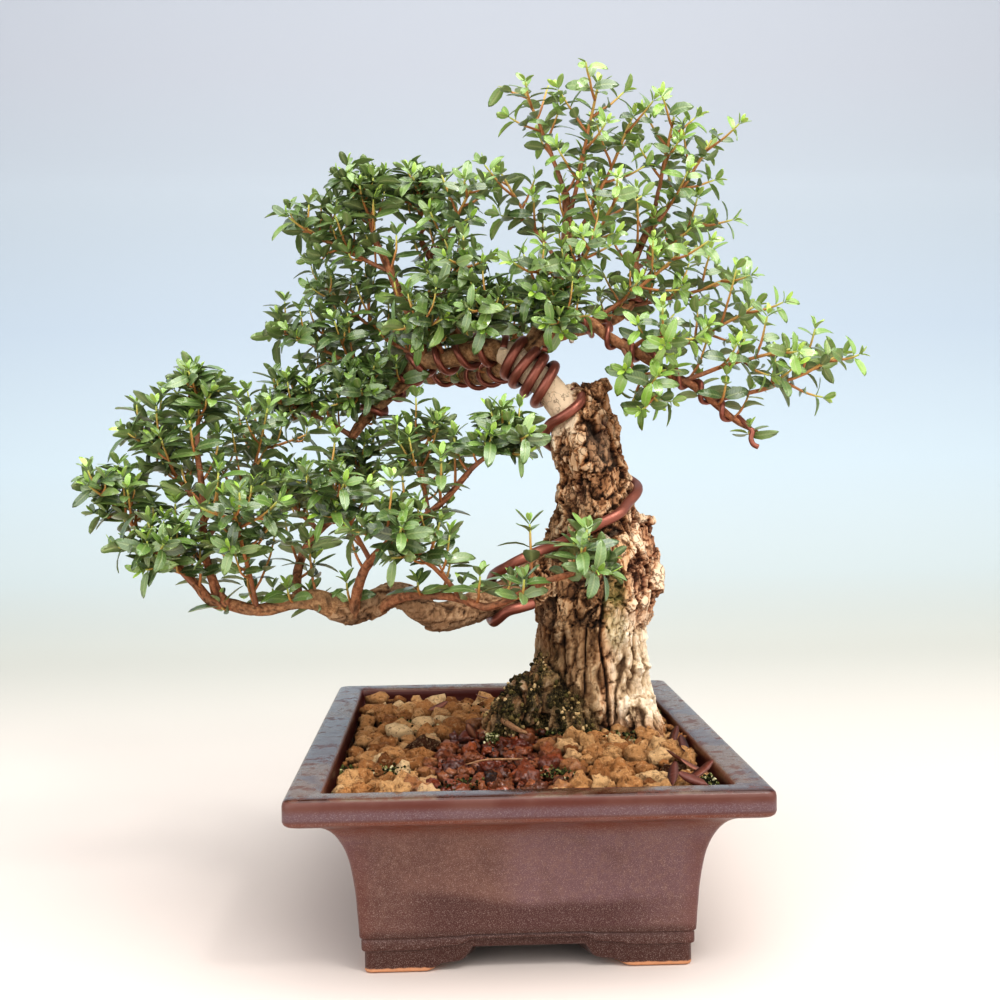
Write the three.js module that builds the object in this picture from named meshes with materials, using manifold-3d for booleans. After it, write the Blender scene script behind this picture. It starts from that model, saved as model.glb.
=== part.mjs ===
import * as THREE from "three";
import { mergeVertices } from "three/addons/utils/BufferGeometryUtils.js";
import Module from "manifold-3d";

// Common myrtle bonsai in a rectangular glazed pot, in millimetres, +Z up.
// The short side of the pot faces -Y, and +X is to the right of somebody facing it.

// Pot
const POT_HALF_X = 75;
const POT_HALF_Y = 106;
const POT_HEIGHT = 61;
const FOOT_HEIGHT = 8;
const FOOT_LENGTH = 30;
const FOOT_DEPTH = 10;
const POT_FLOOR = 15;
const DRAIN_RADIUS = 10;
const DRAIN_Y = 45;

// Clearance between neighbouring pieces
const GAP = 0.35;

// Drain mesh
const SCREEN_HALF = 13;
const SCREEN_THICK = 1.2;
const SCREEN_CELLS = 3;
const SCREEN_OPENING = 6.0;

// Soil
const SOIL_EDGE = 55.5;
const SOIL_RISE = 4.5;
const SOIL_ACROSS = 13;
const SOIL_ALONG = 19;
const GRAIN_COUNT = 4;

// Wires, radius
const THICK_WIRE = 2.0;
const MIDDLE_WIRE = 1.4;
const THIN_WIRE = 1.0;

// Leafy sprays
const SHOOTS = 6;
const SHOOTS_KEPT = 2;
const SHOOT_ORDER = [4, 1, 5, 2, 3, 0];
const LEAF_HALF_THICK = 0.34;
const TIP_LEAVES = 7;

const wasm = await Module();
wasm.setup();

// A seeded row of numbers between 0 and 1
function drawsFrom(seed) {
  let state = seed;
  return () => {
    state = (state * 16807) % 2147483647;
    return state / 2147483647;
  };
}

// Plain vector arithmetic on triples
const add = (a, b) => [a[0] + b[0], a[1] + b[1], a[2] + b[2]];
const sub = (a, b) => [a[0] - b[0], a[1] - b[1], a[2] - b[2]];
const scale = (a, s) => [a[0] * s, a[1] * s, a[2] * s];
const dot = (a, b) => a[0] * b[0] + a[1] * b[1] + a[2] * b[2];
const cross = (a, b) => [a[1] * b[2] - a[2] * b[1], a[2] * b[0] - a[0] * b[2], a[0] * b[1] - a[1] * b[0]];
const size = (a) => Math.sqrt(dot(a, a));
const unit = (a) => scale(a, 1 / size(a));
const blend = (a, b, t) => add(scale(a, 1 - t), scale(b, t));

// Closed solid from points and triangles
function solid(points, faces) {
  const mesh = new wasm.Mesh({
    numProp: 3,
    vertProperties: new Float32Array(points.flat()),
    triVerts: new Uint32Array(faces.flat()),
  });
  return new wasm.Manifold(mesh);
}

// Closed solid from a three.js geometry
function fromGeometry(geometry) {
  const bare = new THREE.BufferGeometry();
  bare.setAttribute("position", geometry.getAttribute("position"));
  if (geometry.index) bare.setIndex(geometry.index);
  const joined = mergeVertices(bare, 1e-4);
  const mesh = new wasm.Mesh({
    numProp: 3,
    vertProperties: new Float32Array(joined.getAttribute("position").array),
    triVerts: new Uint32Array(joined.index.array),
  });
  return new wasm.Manifold(mesh);
}

function box(low, high) {
  const geometry = new THREE.BoxGeometry(high[0] - low[0], high[1] - low[1], high[2] - low[2]);
  geometry.translate((low[0] + high[0]) / 2, (low[1] + high[1]) / 2, (low[2] + high[2]) / 2);
  return fromGeometry(geometry);
}

// Skin over a row of rings with equal counts, each ring counter-clockwise about the travel direction
function loft(rings) {
  const count = rings[0].length;
  const points = rings.flat();
  const faces = [];
  for (let i = 0; i + 1 < rings.length; i += 1) {
    for (let k = 0; k < count; k += 1) {
      const a = i * count + k;
      const b = i * count + ((k + 1) % count);
      faces.push([a, b, b + count], [a, b + count, a + count]);
    }
  }
  const last = (rings.length - 1) * count;
  for (let k = 1; k + 1 < count; k += 1) {
    faces.push([0, k + 1, k]);
    faces.push([last, last + k, last + k + 1]);
  }
  return solid(points, faces);
}

// Smooth curve through the points of a route, with a fourth value (radius) carried along
function smooth(route, steps) {
  const out = [];
  for (let i = 0; i + 1 < route.length; i += 1) {
    const p0 = route[Math.max(0, i - 1)];
    const p1 = route[i];
    const p2 = route[i + 1];
    const p3 = route[Math.min(route.length - 1, i + 2)];
    for (let s = 0; s < steps; s += 1) {
      const t = s / steps;
      out.push(p1.map((_, c) => 0.5 * (2 * p1[c] + (p2[c] - p0[c]) * t
        + (2 * p0[c] - 5 * p1[c] + 4 * p2[c] - p3[c]) * t * t
        + (3 * p1[c] - p0[c] - 3 * p2[c] + p3[c]) * t * t * t)));
    }
  }
  out.push([...route[route.length - 1]]);
  return out;
}

// Frames carried along a curve without twist: heading, side and up at every point
function frames(curve) {
  const out = [];
  let side = null;
  for (let i = 0; i < curve.length; i += 1) {
    const ahead = curve[Math.min(curve.length - 1, i + 1)];
    const behind = curve[Math.max(0, i - 1)];
    const heading = unit(sub(ahead, behind));
    if (!side) side = Math.abs(heading[2]) < 0.9 ? cross(heading, [0, 0, 1]) : cross(heading, [1, 0, 0]);
    side = unit(sub(side, scale(heading, dot(side, heading))));
    out.push({ heading, side, up: cross(heading, side) });
  }
  return out;
}

// Round stem along a curve of [x, y, z, radius], with extra added to the radius all over
function stem(curve, sides, extra = 0) {
  const turn = frames(curve);
  const rings = curve.map((point, i) => {
    const ring = [];
    const reach = point[3] + extra / Math.cos(Math.PI / sides);
    let centre = point;
    if (extra && i === 0) centre = sub(point, scale(turn[i].heading, extra));
    if (extra && i === curve.length - 1) centre = add(point, scale(turn[i].heading, extra));
    for (let k = 0; k < sides; k += 1) {
      const angle = (2 * Math.PI * k) / sides;
      const across = add(scale(turn[i].side, Math.cos(angle)), scale(turn[i].up, Math.sin(angle)));
      ring.push(add(centre, scale(across, reach)));
    }
    return ring;
  });
  return loft(rings);
}

// Length along a curve up to each of its points
function lengths(curve) {
  const out = [0];
  for (let i = 1; i < curve.length; i += 1) out.push(out[i - 1] + size(sub(curve[i], curve[i - 1])));
  return out;
}

// Point of a curve at a given length, with its radius and frame
function pointAt(curve, turn, reach, wanted) {
  let i = 0;
  while (i + 2 < curve.length && reach[i + 1] < wanted) i += 1;
  const t = Math.min(1, Math.max(0, (wanted - reach[i]) / (reach[i + 1] - reach[i])));
  const point = curve[i].map((_, c) => curve[i][c] * (1 - t) + curve[i + 1][c] * t);
  const side = unit(blend(turn[i].side, turn[i + 1].side, t));
  const up = unit(blend(turn[i].up, turn[i + 1].up, t));
  return { point, side, up };
}

function largest(body) {
  const parts = body.decompose();
  parts.sort((a, b) => b.volume() - a.volume());
  return parts[0];
}

// Rounded rectangle as a ring of points at one height
function roundedRing(halfX, halfY, radius, height) {
  const ring = [];
  const corners = [[1, 1, 0], [-1, 1, 1], [-1, -1, 2], [1, -1, 3]];
  for (const [sx, sy, quarter] of corners) {
    for (let k = 0; k <= 2; k += 1) {
      const angle = (quarter + k / 2) * (Math.PI / 2);
      ring.push([
        sx * (halfX - radius) + radius * Math.cos(angle),
        sy * (halfY - radius) + radius * Math.sin(angle),
        height,
      ]);
    }
  }
  return ring;
}

// Pot: outer wall from the foot up, over the rim and down the inside to the floor.
// Each row is the setback from the rim's outer face, the corner radius and the height.
const OUTER_WALL = [
  [22.8, 2.0, 0], [22.3, 2.0, 10.4], [21.3, 2.0, 11.8], [20.0, 2.0, 28], [18.0, 2.0, 38],
  [15.0, 2.2, 45], [11.4, 2.4, 49.2], [0.8, 3.0, 51.6], [0, 3.0, 52.6], [0, 3.0, 60.2], [0.8, 2.6, POT_HEIGHT],
];
const INNER_WALL = [
  [10.4, 2.2, POT_HEIGHT], [11.3, 2.2, 60.0], [12.0, 2.4, 53], [19.5, 3.5, 44], [23.5, 4, 36],
  [25.3, 4, 27], [26.6, 4, POT_FLOOR],
];
const wallRing = ([setback, radius, height], shrink = 0) =>
  roundedRing(POT_HALF_X - setback - shrink, POT_HALF_Y - setback - shrink, radius, height);
let pot = loft([...OUTER_WALL, ...INNER_WALL].map((row) => wallRing(row)));

// Hollow underneath and the curved gaps between the four corner feet
const footHalfX = POT_HALF_X - 22.8;
const footHalfY = POT_HALF_Y - 22.8;
pot = pot.subtract(box(
  [-footHalfX + FOOT_DEPTH, -footHalfY + FOOT_DEPTH, -1],
  [footHalfX - FOOT_DEPTH, footHalfY - FOOT_DEPTH, FOOT_HEIGHT],
));
function archGap(halfWidth, halfThrough) {
  const outline = new THREE.Shape();
  outline.moveTo(-halfWidth, -1);
  outline.lineTo(halfWidth, -1);
  outline.lineTo(halfWidth, 0);
  outline.quadraticCurveTo(halfWidth - 1, FOOT_HEIGHT, halfWidth - 9, FOOT_HEIGHT);
  outline.lineTo(-halfWidth + 9, FOOT_HEIGHT);
  outline.quadraticCurveTo(-halfWidth + 1, FOOT_HEIGHT, -halfWidth, 0);
  const geometry = new THREE.ExtrudeGeometry(outline, {
    depth: 2 * halfThrough, bevelEnabled: false, curveSegments: 5,
  });
  geometry.rotateX(Math.PI / 2);
  geometry.translate(0, halfThrough, 0);
  return geometry;
}
pot = pot.subtract(fromGeometry(archGap(footHalfX - FOOT_LENGTH, POT_HALF_Y)));
const longGap = archGap(footHalfY - FOOT_LENGTH - 4, POT_HALF_X);
longGap.rotateZ(Math.PI / 2);
pot = pot.subtract(fromGeometry(longGap));

for (const y of [-DRAIN_Y, DRAIN_Y]) {
  const hole = new THREE.CylinderGeometry(DRAIN_RADIUS, DRAIN_RADIUS, 30, 24);
  hole.rotateX(Math.PI / 2);
  hole.translate(0, y, 10);
  pot = pot.subtract(fromGeometry(hole));
}

// Drain mesh: a thin plastic square with a grid of openings
function drainScreen(y) {
  const low = POT_FLOOR + GAP;
  let plate = box([-SCREEN_HALF, y - SCREEN_HALF, low], [SCREEN_HALF, y + SCREEN_HALF, low + SCREEN_THICK]);
  const pitch = (2 * SCREEN_HALF) / SCREEN_CELLS;
  for (let i = 0; i < SCREEN_CELLS; i += 1) {
    for (let j = 0; j < SCREEN_CELLS; j += 1) {
      const cx = -SCREEN_HALF + (i + 0.5) * pitch;
      const cy = y - SCREEN_HALF + (j + 0.5) * pitch;
      const half = SCREEN_OPENING / 2;
      plate = plate.subtract(box([cx - half, cy - half, low - 1], [cx + half, cy + half, low + 3]));
    }
  }
  return plate;
}

// Trunk, from the root plug in the soil to the broken top: height, centre x, centre y, radius.
const TRUNK = [
  [24, 31, 14, 12], [46, 31, 14, 19], [55, 30, 14, 24.5], [61, 29.5, 14, 25.5], [68, 30, 14, 23.6],
  [78, 31, 14, 22.2], [90, 31.5, 14, 21.6], [102, 31.5, 14, 21.8], [113, 33, 14, 21.6], [121, 34, 14, 21],
  [129, 33.6, 14, 19.4], [137, 33, 13.6, 17], [146, 33.4, 13, 14.2], [154, 33.6, 13, 12.6], [163, 31.6, 13, 13],
  [172, 29.4, 14, 13], [179, 29, 14, 11.6], [184, 30, 14, 9.2], [189, 31, 14, 7.2], [192, 32, 14, 4.6],
];
const TRUNK_SIDES = 18;

// Furrows and swellings round the trunk: a factor on the radius for an angle and a height
function trunkRelief(angle, height) {
  const flare = Math.exp(-Math.pow((height - 60) / 12, 2));
  const lobes = 0.10 * flare * Math.sin(3 * angle + 2.1);
  const ridges = 0.040 * Math.sin(4 * angle + 0.05 * height) + 0.026 * Math.sin(7 * angle - 0.07 * height + 1.3);
  const knots = 0.030 * Math.sin(2 * angle + 0.11 * height) * Math.sin(0.16 * height);
  return 1 + (lobes + ridges + knots) * Math.min(1, Math.max(0, (height - 50) / 8));
}

function trunkPoint(height) {
  let i = 0;
  while (i + 2 < TRUNK.length && TRUNK[i + 1][0] < height) i += 1;
  const t = (height - TRUNK[i][0]) / (TRUNK[i + 1][0] - TRUNK[i][0]);
  return TRUNK[i].map((value, c) => value * (1 - t) + TRUNK[i + 1][c] * t);
}

function trunkBody(extra) {
  return loft(TRUNK.map(([height, cx, cy, radius], i) => {
    const ring = [];
    let z = height;
    if (i === 0) z -= extra;
    if (i === TRUNK.length - 1) z += extra;
    for (let k = 0; k < TRUNK_SIDES; k += 1) {
      const angle = (2 * Math.PI * k) / TRUNK_SIDES;
      const reach = radius * trunkRelief(angle, height) + 1.12 * extra;
      ring.push([cx + reach * Math.cos(angle), cy + reach * Math.sin(angle), z]);
    }
    return ring;
  }));
}

// Limbs: routes of [x, y, z, radius]
const LIMBS = {
  neck: [[27, 12.4, 170, 8], [23, 11, 180, 7.2], [19, 10, 186, 6.6], [14, 9, 192, 6.3], [8, 9, 197, 6.3],
    [3, 10, 202, 5.8], [-2, 12, 205, 4.8]],
  leader: [[4, 9, 200, 4.4], [12, 14, 211, 3.9], [19, 20, 226, 3.5], [24, 24, 241, 3.0], [25, 24, 256, 2.2],
    [24, 22, 268, 1.5]],
  leftLimb: [[2, 11, 203, 4.8], [-7, 14, 206, 4.4], [-15, 18, 205, 4.2], [-24, 22, 203, 3.9],
    [-34, 26, 202, 3.6], [-40, 30, 196, 3.3], [-49, 32, 188, 2.9], [-57, 32, 180, 2.4], [-62, 30, 173, 1.8]],
  backLimb: [[2, 10, 200, 4.2], [-4, 28, 198, 3.6], [-11, 44, 197, 3.2], [-20, 58, 199, 2.7],
    [-31, 70, 198, 1.8]],
  rightLimb: [[6, 10, 201, 3.2], [18, 6, 211, 2.5], [29, 2, 215, 2.3], [39, 0, 208, 2.1], [50, 0, 202, 2.0],
    [60, 0, 195, 1.9], [70, 0, 190, 1.8], [78, -2, 183, 1.7], [86, -4, 176, 1.5], [93, -6, 172, 1.2]],
  riser: [[10, 10, 206, 2.6], [18, 9, 210, 2.4], [32, 14, 214, 2.3], [43, 20, 218, 2.2], [50, 24, 225, 2.1],
    [53, 26, 232, 2.0], [52, 28, 242, 1.8], [57, 30, 253, 1.5], [61, 32, 263, 1.2]],
  leftRiser: [[-33, 25, 202, 2.4], [-35, 23, 213, 2.2], [-38, 22, 221, 2.0], [-42, 20, 229, 1.8],
    [-47, 18, 241, 1.5], [-51, 18, 249, 1.2]],
  midRiser: [[-14, 17, 205, 2.2], [-21, 21, 214, 2.0], [-27, 24, 227, 1.8], [-28, 26, 239, 1.5],
    [-33, 28, 250, 1.2]],
  low: [[26, 14, 118, 13], [16, 8, 117, 11.4], [8, 3, 115, 9], [-1, -2, 112, 6.8], [-11, -6, 109.5, 6.0],
    [-19, -10, 106.5, 5.7], [-28, -12, 105, 5.6], [-34, -14, 108, 5.2], [-39, -15, 112.5, 5.0],
    [-45, -15, 113.5, 4.8], [-52, -16, 110.5, 4.8], [-60, -18, 107.5, 4.8], [-66, -20, 110, 4.5],
    [-72, -22, 113, 4.0], [-80, -22, 112.5, 3.0], [-89, -22, 110, 2.4], [-96, -22, 110, 2.3], [-103, -22, 112, 2.2],
    [-109, -23, 113, 2.0], [-114, -25, 119, 1.7], [-119, -27, 125, 1.5], [-126, -30, 131, 1.2]],
  lowTall: [[-102, -22, 111, 1.9], [-107, -24, 117, 1.7], [-111, -25, 132, 1.5], [-111, -26, 150, 1.3],
    [-113, -26, 168, 1.0]],
  lowFront: [[-50, -16, 108, 2.2], [-43, -24, 113, 1.9], [-35, -32, 115, 1.7], [-22, -42, 115, 1.5],
    [-11, -47, 112, 1.4], [-1, -52, 116, 1.3], [8, -56, 121, 1.2], [18, -58, 124, 1.0]],
  lowEast: [[-59, -19, 106, 2.2], [-56, -28, 119, 1.8], [-51, -34, 128, 1.6], [-41, -38, 137, 1.4],
    [-27, -40, 147, 1.2], [-16, -40, 159, 1.0]],
  lowBack: [[-78, -22, 112, 2.0], [-80, -12, 120, 1.8], [-78, 0, 130, 1.6], [-72, 14, 138, 1.3],
    [-64, 28, 144, 1.0]],
};
const SIDES = {
  neck: 10, leader: 6, leftLimb: 6, backLimb: 6, rightLimb: 6, riser: 6, leftRiser: 5, midRiser: 5,
  low: 7, lowTall: 4, lowFront: 5, lowEast: 4, lowBack: 4,
};

// Surface root at the left of the trunk base, the fin of dead wood at the right and the broken top
const TRUNK_PIECES = [
  [[[22, 6, 70, 10], [10, 3, 64, 8.6], [0, 1, 60, 7], [-8, -1, 54, 4.6]], 8],
  [[[40, 32, 68, 8], [47, 42, 61, 6], [52, 49, 54, 4]], 7],
  [[[44, -2, 68, 8.4], [49, -9, 61, 6.4], [53, -15, 54, 4]], 7],
  [[[45, 11, 100, 7], [51, 11, 112, 7.4], [53, 12, 125, 4.6], [52, 12, 133, 2.6], [53.6, 12, 141, 0.7]], 6],
  [[[25, 15, 179, 5], [24, 16, 187, 3], [23.4, 17, 193.5, 0.8]], 5],
  [[[34, 13, 180, 5.4], [35.4, 12, 188, 3.4], [36, 11, 194.5, 0.8]], 5],
];

function woodBody(extra) {
  const bodies = [trunkBody(extra)];
  for (const [route, sides] of TRUNK_PIECES) bodies.push(stem(route, sides, extra));
  for (const name of Object.keys(LIMBS)) bodies.push(stem(LIMBS[name], SIDES[name], extra));
  return wasm.Manifold.union(bodies);
}

// Wires: coils of a given pitch round a limb between two lengths along it
function coil(limb, wireRadius, from, to, pitch, startAngle, steps) {
  const curve = LIMBS[limb];
  const turn = frames(curve);
  const reach = lengths(curve);
  const count = Math.ceil(((to - from) / pitch) * steps);
  const out = [];
  for (let i = 0; i <= count; i += 1) {
    const along = from + ((to - from) * i) / count;
    const angle = startAngle + (2 * Math.PI * (along - from)) / pitch;
    const { point, side, up } = pointAt(curve, turn, reach, along);
    const across = add(scale(side, Math.cos(angle)), scale(up, Math.sin(angle)));
    const centre = add(point, scale(across, (point[3] + wireRadius + GAP + 0.2) / Math.cos(Math.PI / steps)));
    out.push([centre[0], centre[1], centre[2], wireRadius]);
  }
  return out;
}

// Thick wire: one turn under the low branch, up across the trunk front, round the back, up the neck
function thickWireCurve() {
  const out = [
    [8, -11.4, 105], [2, -11.6, 103.4], [-4.5, -9.6, 101.8], [-10, -4, 101], [-13.4, 2.4, 105], [-13.6, 3.2, 112.4],
    [-12.4, -1, 118.4], [-10.2, -7, 121], [-5, -11, 123], [1, -11.6, 125.4], [9, -8.4, 128.2],
  ].map((point) => [...point, THICK_WIRE]);
  for (let k = 0; k <= 14; k += 1) {
    const height = k < 5 ? 130.6 + 3.8 * k : 149.6 + 2.6 * (k - 5);
    const angle = ((222 + 23.5 * k) * Math.PI) / 180;
    const [, cx, cy, radius] = trunkPoint(height);
    const reach = radius * trunkRelief(angle, height) + THICK_WIRE + GAP + 0.6;
    out.push([cx + reach * Math.cos(angle), cy + reach * Math.sin(angle), height, THICK_WIRE]);
  }
  const neck = coil("neck", THICK_WIRE, 12, 32, 6.4, 2.2, 8);
  return [...out, ...neck];
}

const WIRES = {
  wire_thick: { curve: thickWireCurve(), sides: 5 },
  wire_left: { curve: coil("leftLimb", MIDDLE_WIRE, 5, 70, 9.2, 1.0, 7), sides: 4 },
  wire_right: { curve: coil("rightLimb", THIN_WIRE, 9, 98, 10.4, 0.5, 6), sides: 4 },
  wire_riser: { curve: coil("riser", THIN_WIRE, 16, 52, 9.0, 2.0, 6), sides: 4 },
  wire_back: { curve: coil("backLimb", THIN_WIRE, 10, 66, 12, 0.4, 6), sides: 4 },
};

// Leafy sprays: limb, share of the way along it, tip of the spray, lift of its middle
const SPRAYS = [
  ["leader", 1.0, [5, 20, 315], 2], ["leader", 0.84, [37, 4, 312], -2], ["leader", 0.7, [54, 22, 304], -6],
  ["riser", 1.0, [68, 16, 303], 0], ["riser", 0.86, [88, 30, 296], -4], ["riser", 0.7, [90, 46, 264], 2],
  ["leader", 0.6, [-4, 36, 284], -4], ["leader", 0.52, [46, -2, 268], -4], ["riser", 0.52, [96, 20, 236], -4],
  ["leader", 0.34, [34, -14, 248], -3], ["midRiser", 0.86, [-10, 4, 272], -4],
  ["midRiser", 0.5, [-14, -12, 240], 0], ["leader", 0.2, [10, -20, 238], 2],
  ["rightLimb", 0.12, [22, -22, 216], 6], ["leftLimb", 0.16, [-8, -20, 222], 4],
  ["leftLimb", 0.36, [-36, -14, 216], 6], ["leftRiser", 1.0, [-58, 26, 278], 0],
  ["leftRiser", 0.74, [-86, 28, 260], -2], ["midRiser", 1.0, [-34, 22, 278], 0],
  ["leftLimb", 0.62, [-94, 34, 219], -4], ["leftLimb", 0.46, [-78, 54, 240], -6],
  ["leftLimb", 1.0, [-99, 26, 190], 4], ["leftLimb", 0.8, [-64, 4, 188], 10],
  ["rightLimb", 0.28, [72, 4, 246], -4], ["rightLimb", 0.52, [102, 8, 224], -4],
  ["rightLimb", 0.68, [110, -16, 204], 2], ["rightLimb", 0.8, [134, 2, 204], -6],
  ["rightLimb", 0.46, [64, -26, 206], 5], ["rightLimb", 0.42, [57, -16, 178], -3],
  ["backLimb", 1.0, [-48, 90, 214], 2], ["backLimb", 0.8, [-4, 88, 228], 0],
  ["backLimb", 0.45, [18, 60, 232], 0], ["riser", 0.36, [62, 56, 236], 0],
  ["low", 1.0, [-151, -30, 160], 0], ["lowTall", 0.66, [-138, -14, 180], -4], ["lowTall", 1.0, [-112, -22, 197], 0],
  ["low", 0.9, [-130, -52, 138], 2], ["low", 0.76, [-96, -60, 152], 4],
  ["lowTall", 0.44, [-88, 14, 178], -4], ["lowBack", 1.0, [-58, 46, 172], 0], ["lowBack", 0.66, [-98, 24, 156], 2],
  ["lowEast", 0.36, [-68, -58, 160], 2], ["lowEast", 0.72, [-36, -8, 178], 0], ["lowEast", 1.0, [6, -46, 174], 2],
  ["lowFront", 0.5, [-50, -70, 144], 6], ["lowFront", 1.0, [28, -62, 131], 2],
];

function bezier(a, b, c, t) {
  return add(add(scale(a, (1 - t) * (1 - t)), scale(b, 2 * t * (1 - t))), scale(c, t * t));
}

function bezierHeading(a, b, c, t) {
  return unit(add(scale(sub(b, a), 1 - t), scale(sub(c, b), t)));
}

// Direction at right angles to a heading, turned about it
function around(heading, turn) {
  const flat = Math.abs(heading[2]) < 0.95 ? [0, 0, 1] : [1, 0, 0];
  const u = unit(cross(heading, flat));
  const v = cross(u, heading);
  return add(scale(u, Math.cos(turn)), scale(v, Math.sin(turn)));
}

// The stems of one spray: the axis first, then its side shoots, each as three curve points
function sprayStems(base, tip, lift, seed) {
  const draw = drawsFrom(seed);
  const span = size(sub(tip, base)) - TIP_LEAVES;
  const end = add(base, scale(unit(sub(tip, base)), span));
  const middle = add(blend(base, end, 0.5), [0, 0, lift]);
  const stems = [[base, middle, end]];
  const start = 6.2832 * draw();
  for (let k = 0; k < SHOOTS; k += 1) {
    const t = 0.34 + (0.56 * k) / (SHOOTS - 1);
    const from = bezier(base, middle, end, t);
    const heading = bezierHeading(base, middle, end, t);
    const across = around(heading, start + 2.39996 * k);
    const length = Math.min(26, Math.max(13, span * (0.28 + 0.2 * draw())));
    const bend = add(from, add(scale(across, 0.34 * length), scale(heading, 0.24 * length)));
    const rise = [0, 0, 0.2 * length];
    const top = add(add(from, rise), add(scale(across, 0.7 * length), scale(heading, 0.46 * length)));
    stems.push([from, bend, top]);
  }
  return stems;
}

// Leaves of one stem in crossed pairs: foot, direction, upper-face direction, length and width
function stemLeaves(route, first, seed) {
  const draw = drawsFrom(seed);
  const [a, b, c] = route;
  const length = size(sub(b, a)) + size(sub(c, b));
  const pairs = Math.max(2, Math.round(((1 - first) * length) / 4.4));
  const out = [];
  for (let j = 0; j < pairs; j += 1) {
    const t = first + ((1 - first) * (j + 0.5)) / pairs;
    const foot = bezier(a, b, c, t);
    const heading = bezierHeading(a, b, c, t);
    const twist = 1.5708 * j + 0.5 * draw();
    for (let s = 0; s < 2; s += 1) {
      const across = around(heading, twist + 3.14159 * s);
      const leafLength = 10.2 + 4.2 * draw();
      const open = 0.75 + 0.35 * draw();
      const direction = unit(add(add(scale(across, open), scale(heading, 0.62)), [0, 0, 0.12]));
      const face = unit(sub(heading, scale(direction, dot(heading, direction))));
      const width = leafLength * (0.34 + 0.06 * draw());
      out.push({ foot, direction, face, length: leafLength, width, across, t, pair: j, pairs });
    }
  }
  return out;
}

// A spray as one skin: every leaf and side shoot grows out of a side of its four-sided stem
function growSpray(axis) {
  const points = [];
  const faces = [];
  const put = (point) => points.push(point) - 1;
  const quad = (a, b, c, d) => faces.push([a, b, c], [a, c, d]);

  // Four corners about a heading; side 0, from corner 0 to corner 1, faces the given direction
  function ring(centre, heading, across, radius) {
    const flat = unit(sub(across, scale(heading, dot(across, heading))));
    const other = cross(heading, flat);
    return [-1, 1, 3, 5].map((eighth) => {
      const angle = (eighth * Math.PI) / 4;
      return put(add(centre, add(scale(flat, radius * Math.cos(angle)), scale(other, radius * Math.sin(angle)))));
    });
  }

  function join(lower, upper) {
    const twist = (m) => lower.reduce((sum, p, i) => sum + size(sub(points[p], points[upper[(i + m) % 4]])), 0);
    const m = [0, 1, 2, 3].reduce((best, now) => (twist(now) < twist(best) ? now : best), 0);
    for (let i = 0; i < 4; i += 1) quad(lower[i], lower[(i + 1) % 4], upper[(i + 1 + m) % 4], upper[(i + m) % 4]);
  }

  function blade(foot, leaf) {
    const across = cross(leaf.face, leaf.direction);
    const at = (s, w, h) => put(add(add(leaf.foot, scale(leaf.direction, leaf.length * s)),
      add(scale(across, leaf.width * w), scale(leaf.face, h - 0.16 * leaf.length * s * s))));
    const right = at(0.34, 0.48, 0);
    const left = at(0.34, -0.48, 0);
    const farRight = at(0.7, 0.38, 0);
    const farLeft = at(0.7, -0.38, 0);
    const over = at(0.42, 0, LEAF_HALF_THICK);
    const under = at(0.42, 0, -LEAF_HALF_THICK);
    const tip = at(1, 0, 0);
    const middle = [under, right, over, left];
    for (let i = 0; i < 4; i += 1) {
      const next = (i + 1) % 4;
      faces.push([foot[i], foot[next], middle[i]], [foot[next], middle[next], middle[i]]);
    }
    faces.push([over, left, farLeft], [over, farLeft, tip], [over, tip, farRight], [over, farRight, right]);
    faces.push([under, farLeft, left], [under, tip, farLeft], [under, farRight, tip], [under, right, farRight]);
  }

  function grow(twig, from) {
    const [a, b, c] = twig.route;
    const length = size(sub(b, a)) + size(sub(c, b));
    const thick = (t) => 1.2 * (twig.thick + (twig.thin - twig.thick) * t);
    let previous = from;
    for (const node of twig.nodes) {
      const half = node.sides ? 0.55 / length : 0;
      const rings = (node.sides ? [-half, half] : [0]).map((step) => {
        const t = Math.min(1, node.t + step);
        return ring(bezier(a, b, c, t), bezierHeading(a, b, c, t), node.across, thick(t));
      });
      if (previous) join(previous, rings[0]);
      else faces.push([rings[0][0], rings[0][2], rings[0][1]], [rings[0][0], rings[0][3], rings[0][2]]);
      if (node.sides) {
        const [low, high] = rings;
        for (let i = 0; i < 4; i += 1) {
          const foot = [low[i], low[(i + 1) % 4], high[(i + 1) % 4], high[i]];
          const grown = node.sides[i];
          if (!grown) quad(...foot);
          else if (grown.route) grow(grown, foot);
          else blade(foot, grown);
        }
      }
      previous = rings[rings.length - 1];
    }
    faces.push([previous[0], previous[1], previous[2]], [previous[0], previous[2], previous[3]]);
  }
  grow(axis, null);
  return solid(points, faces);
}

// Shortest distance between two straight pieces
function apart(a, b, c, d) {
  const u = sub(b, a);
  const v = sub(d, c);
  const w = sub(a, c);
  const uu = dot(u, u);
  const uv = dot(u, v);
  const vv = dot(v, v);
  const uw = dot(u, w);
  const vw = dot(v, w);
  const spread = uu * vv - uv * uv;
  let s = spread > 1e-9 ? (uv * vw - vv * uw) / spread : 0;
  s = Math.min(1, Math.max(0, s));
  let t = (uv * s + vw) / vv;
  t = Math.min(1, Math.max(0, t));
  s = Math.min(1, Math.max(0, (uv * t - uw) / uu));
  return size(sub(add(a, scale(u, s)), add(c, scale(v, t))));
}

// Room already taken by twigs and leaves, each as a straight piece with a radius
const placed = [];
function straight(a, b, radius, owner, route, leaf = false) {
  return { a, b, radius, owner, route, leaf, middle: blend(a, b, 0.5), half: size(sub(b, a)) / 2 };
}

function stemPieces(route, steps, radius, owner) {
  const out = [];
  for (let i = 0; i < steps; i += 1) {
    out.push(straight(bezier(...route, i / steps), bezier(...route, (i + 1) / steps), radius, owner, route));
  }
  return out;
}

function tooClose(p, q, space) {
  const limit = p.radius + q.radius + space;
  if (size(sub(p.middle, q.middle)) > p.half + q.half + limit) return false;
  return apart(p.a, p.b, q.a, q.b) < limit;
}

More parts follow.
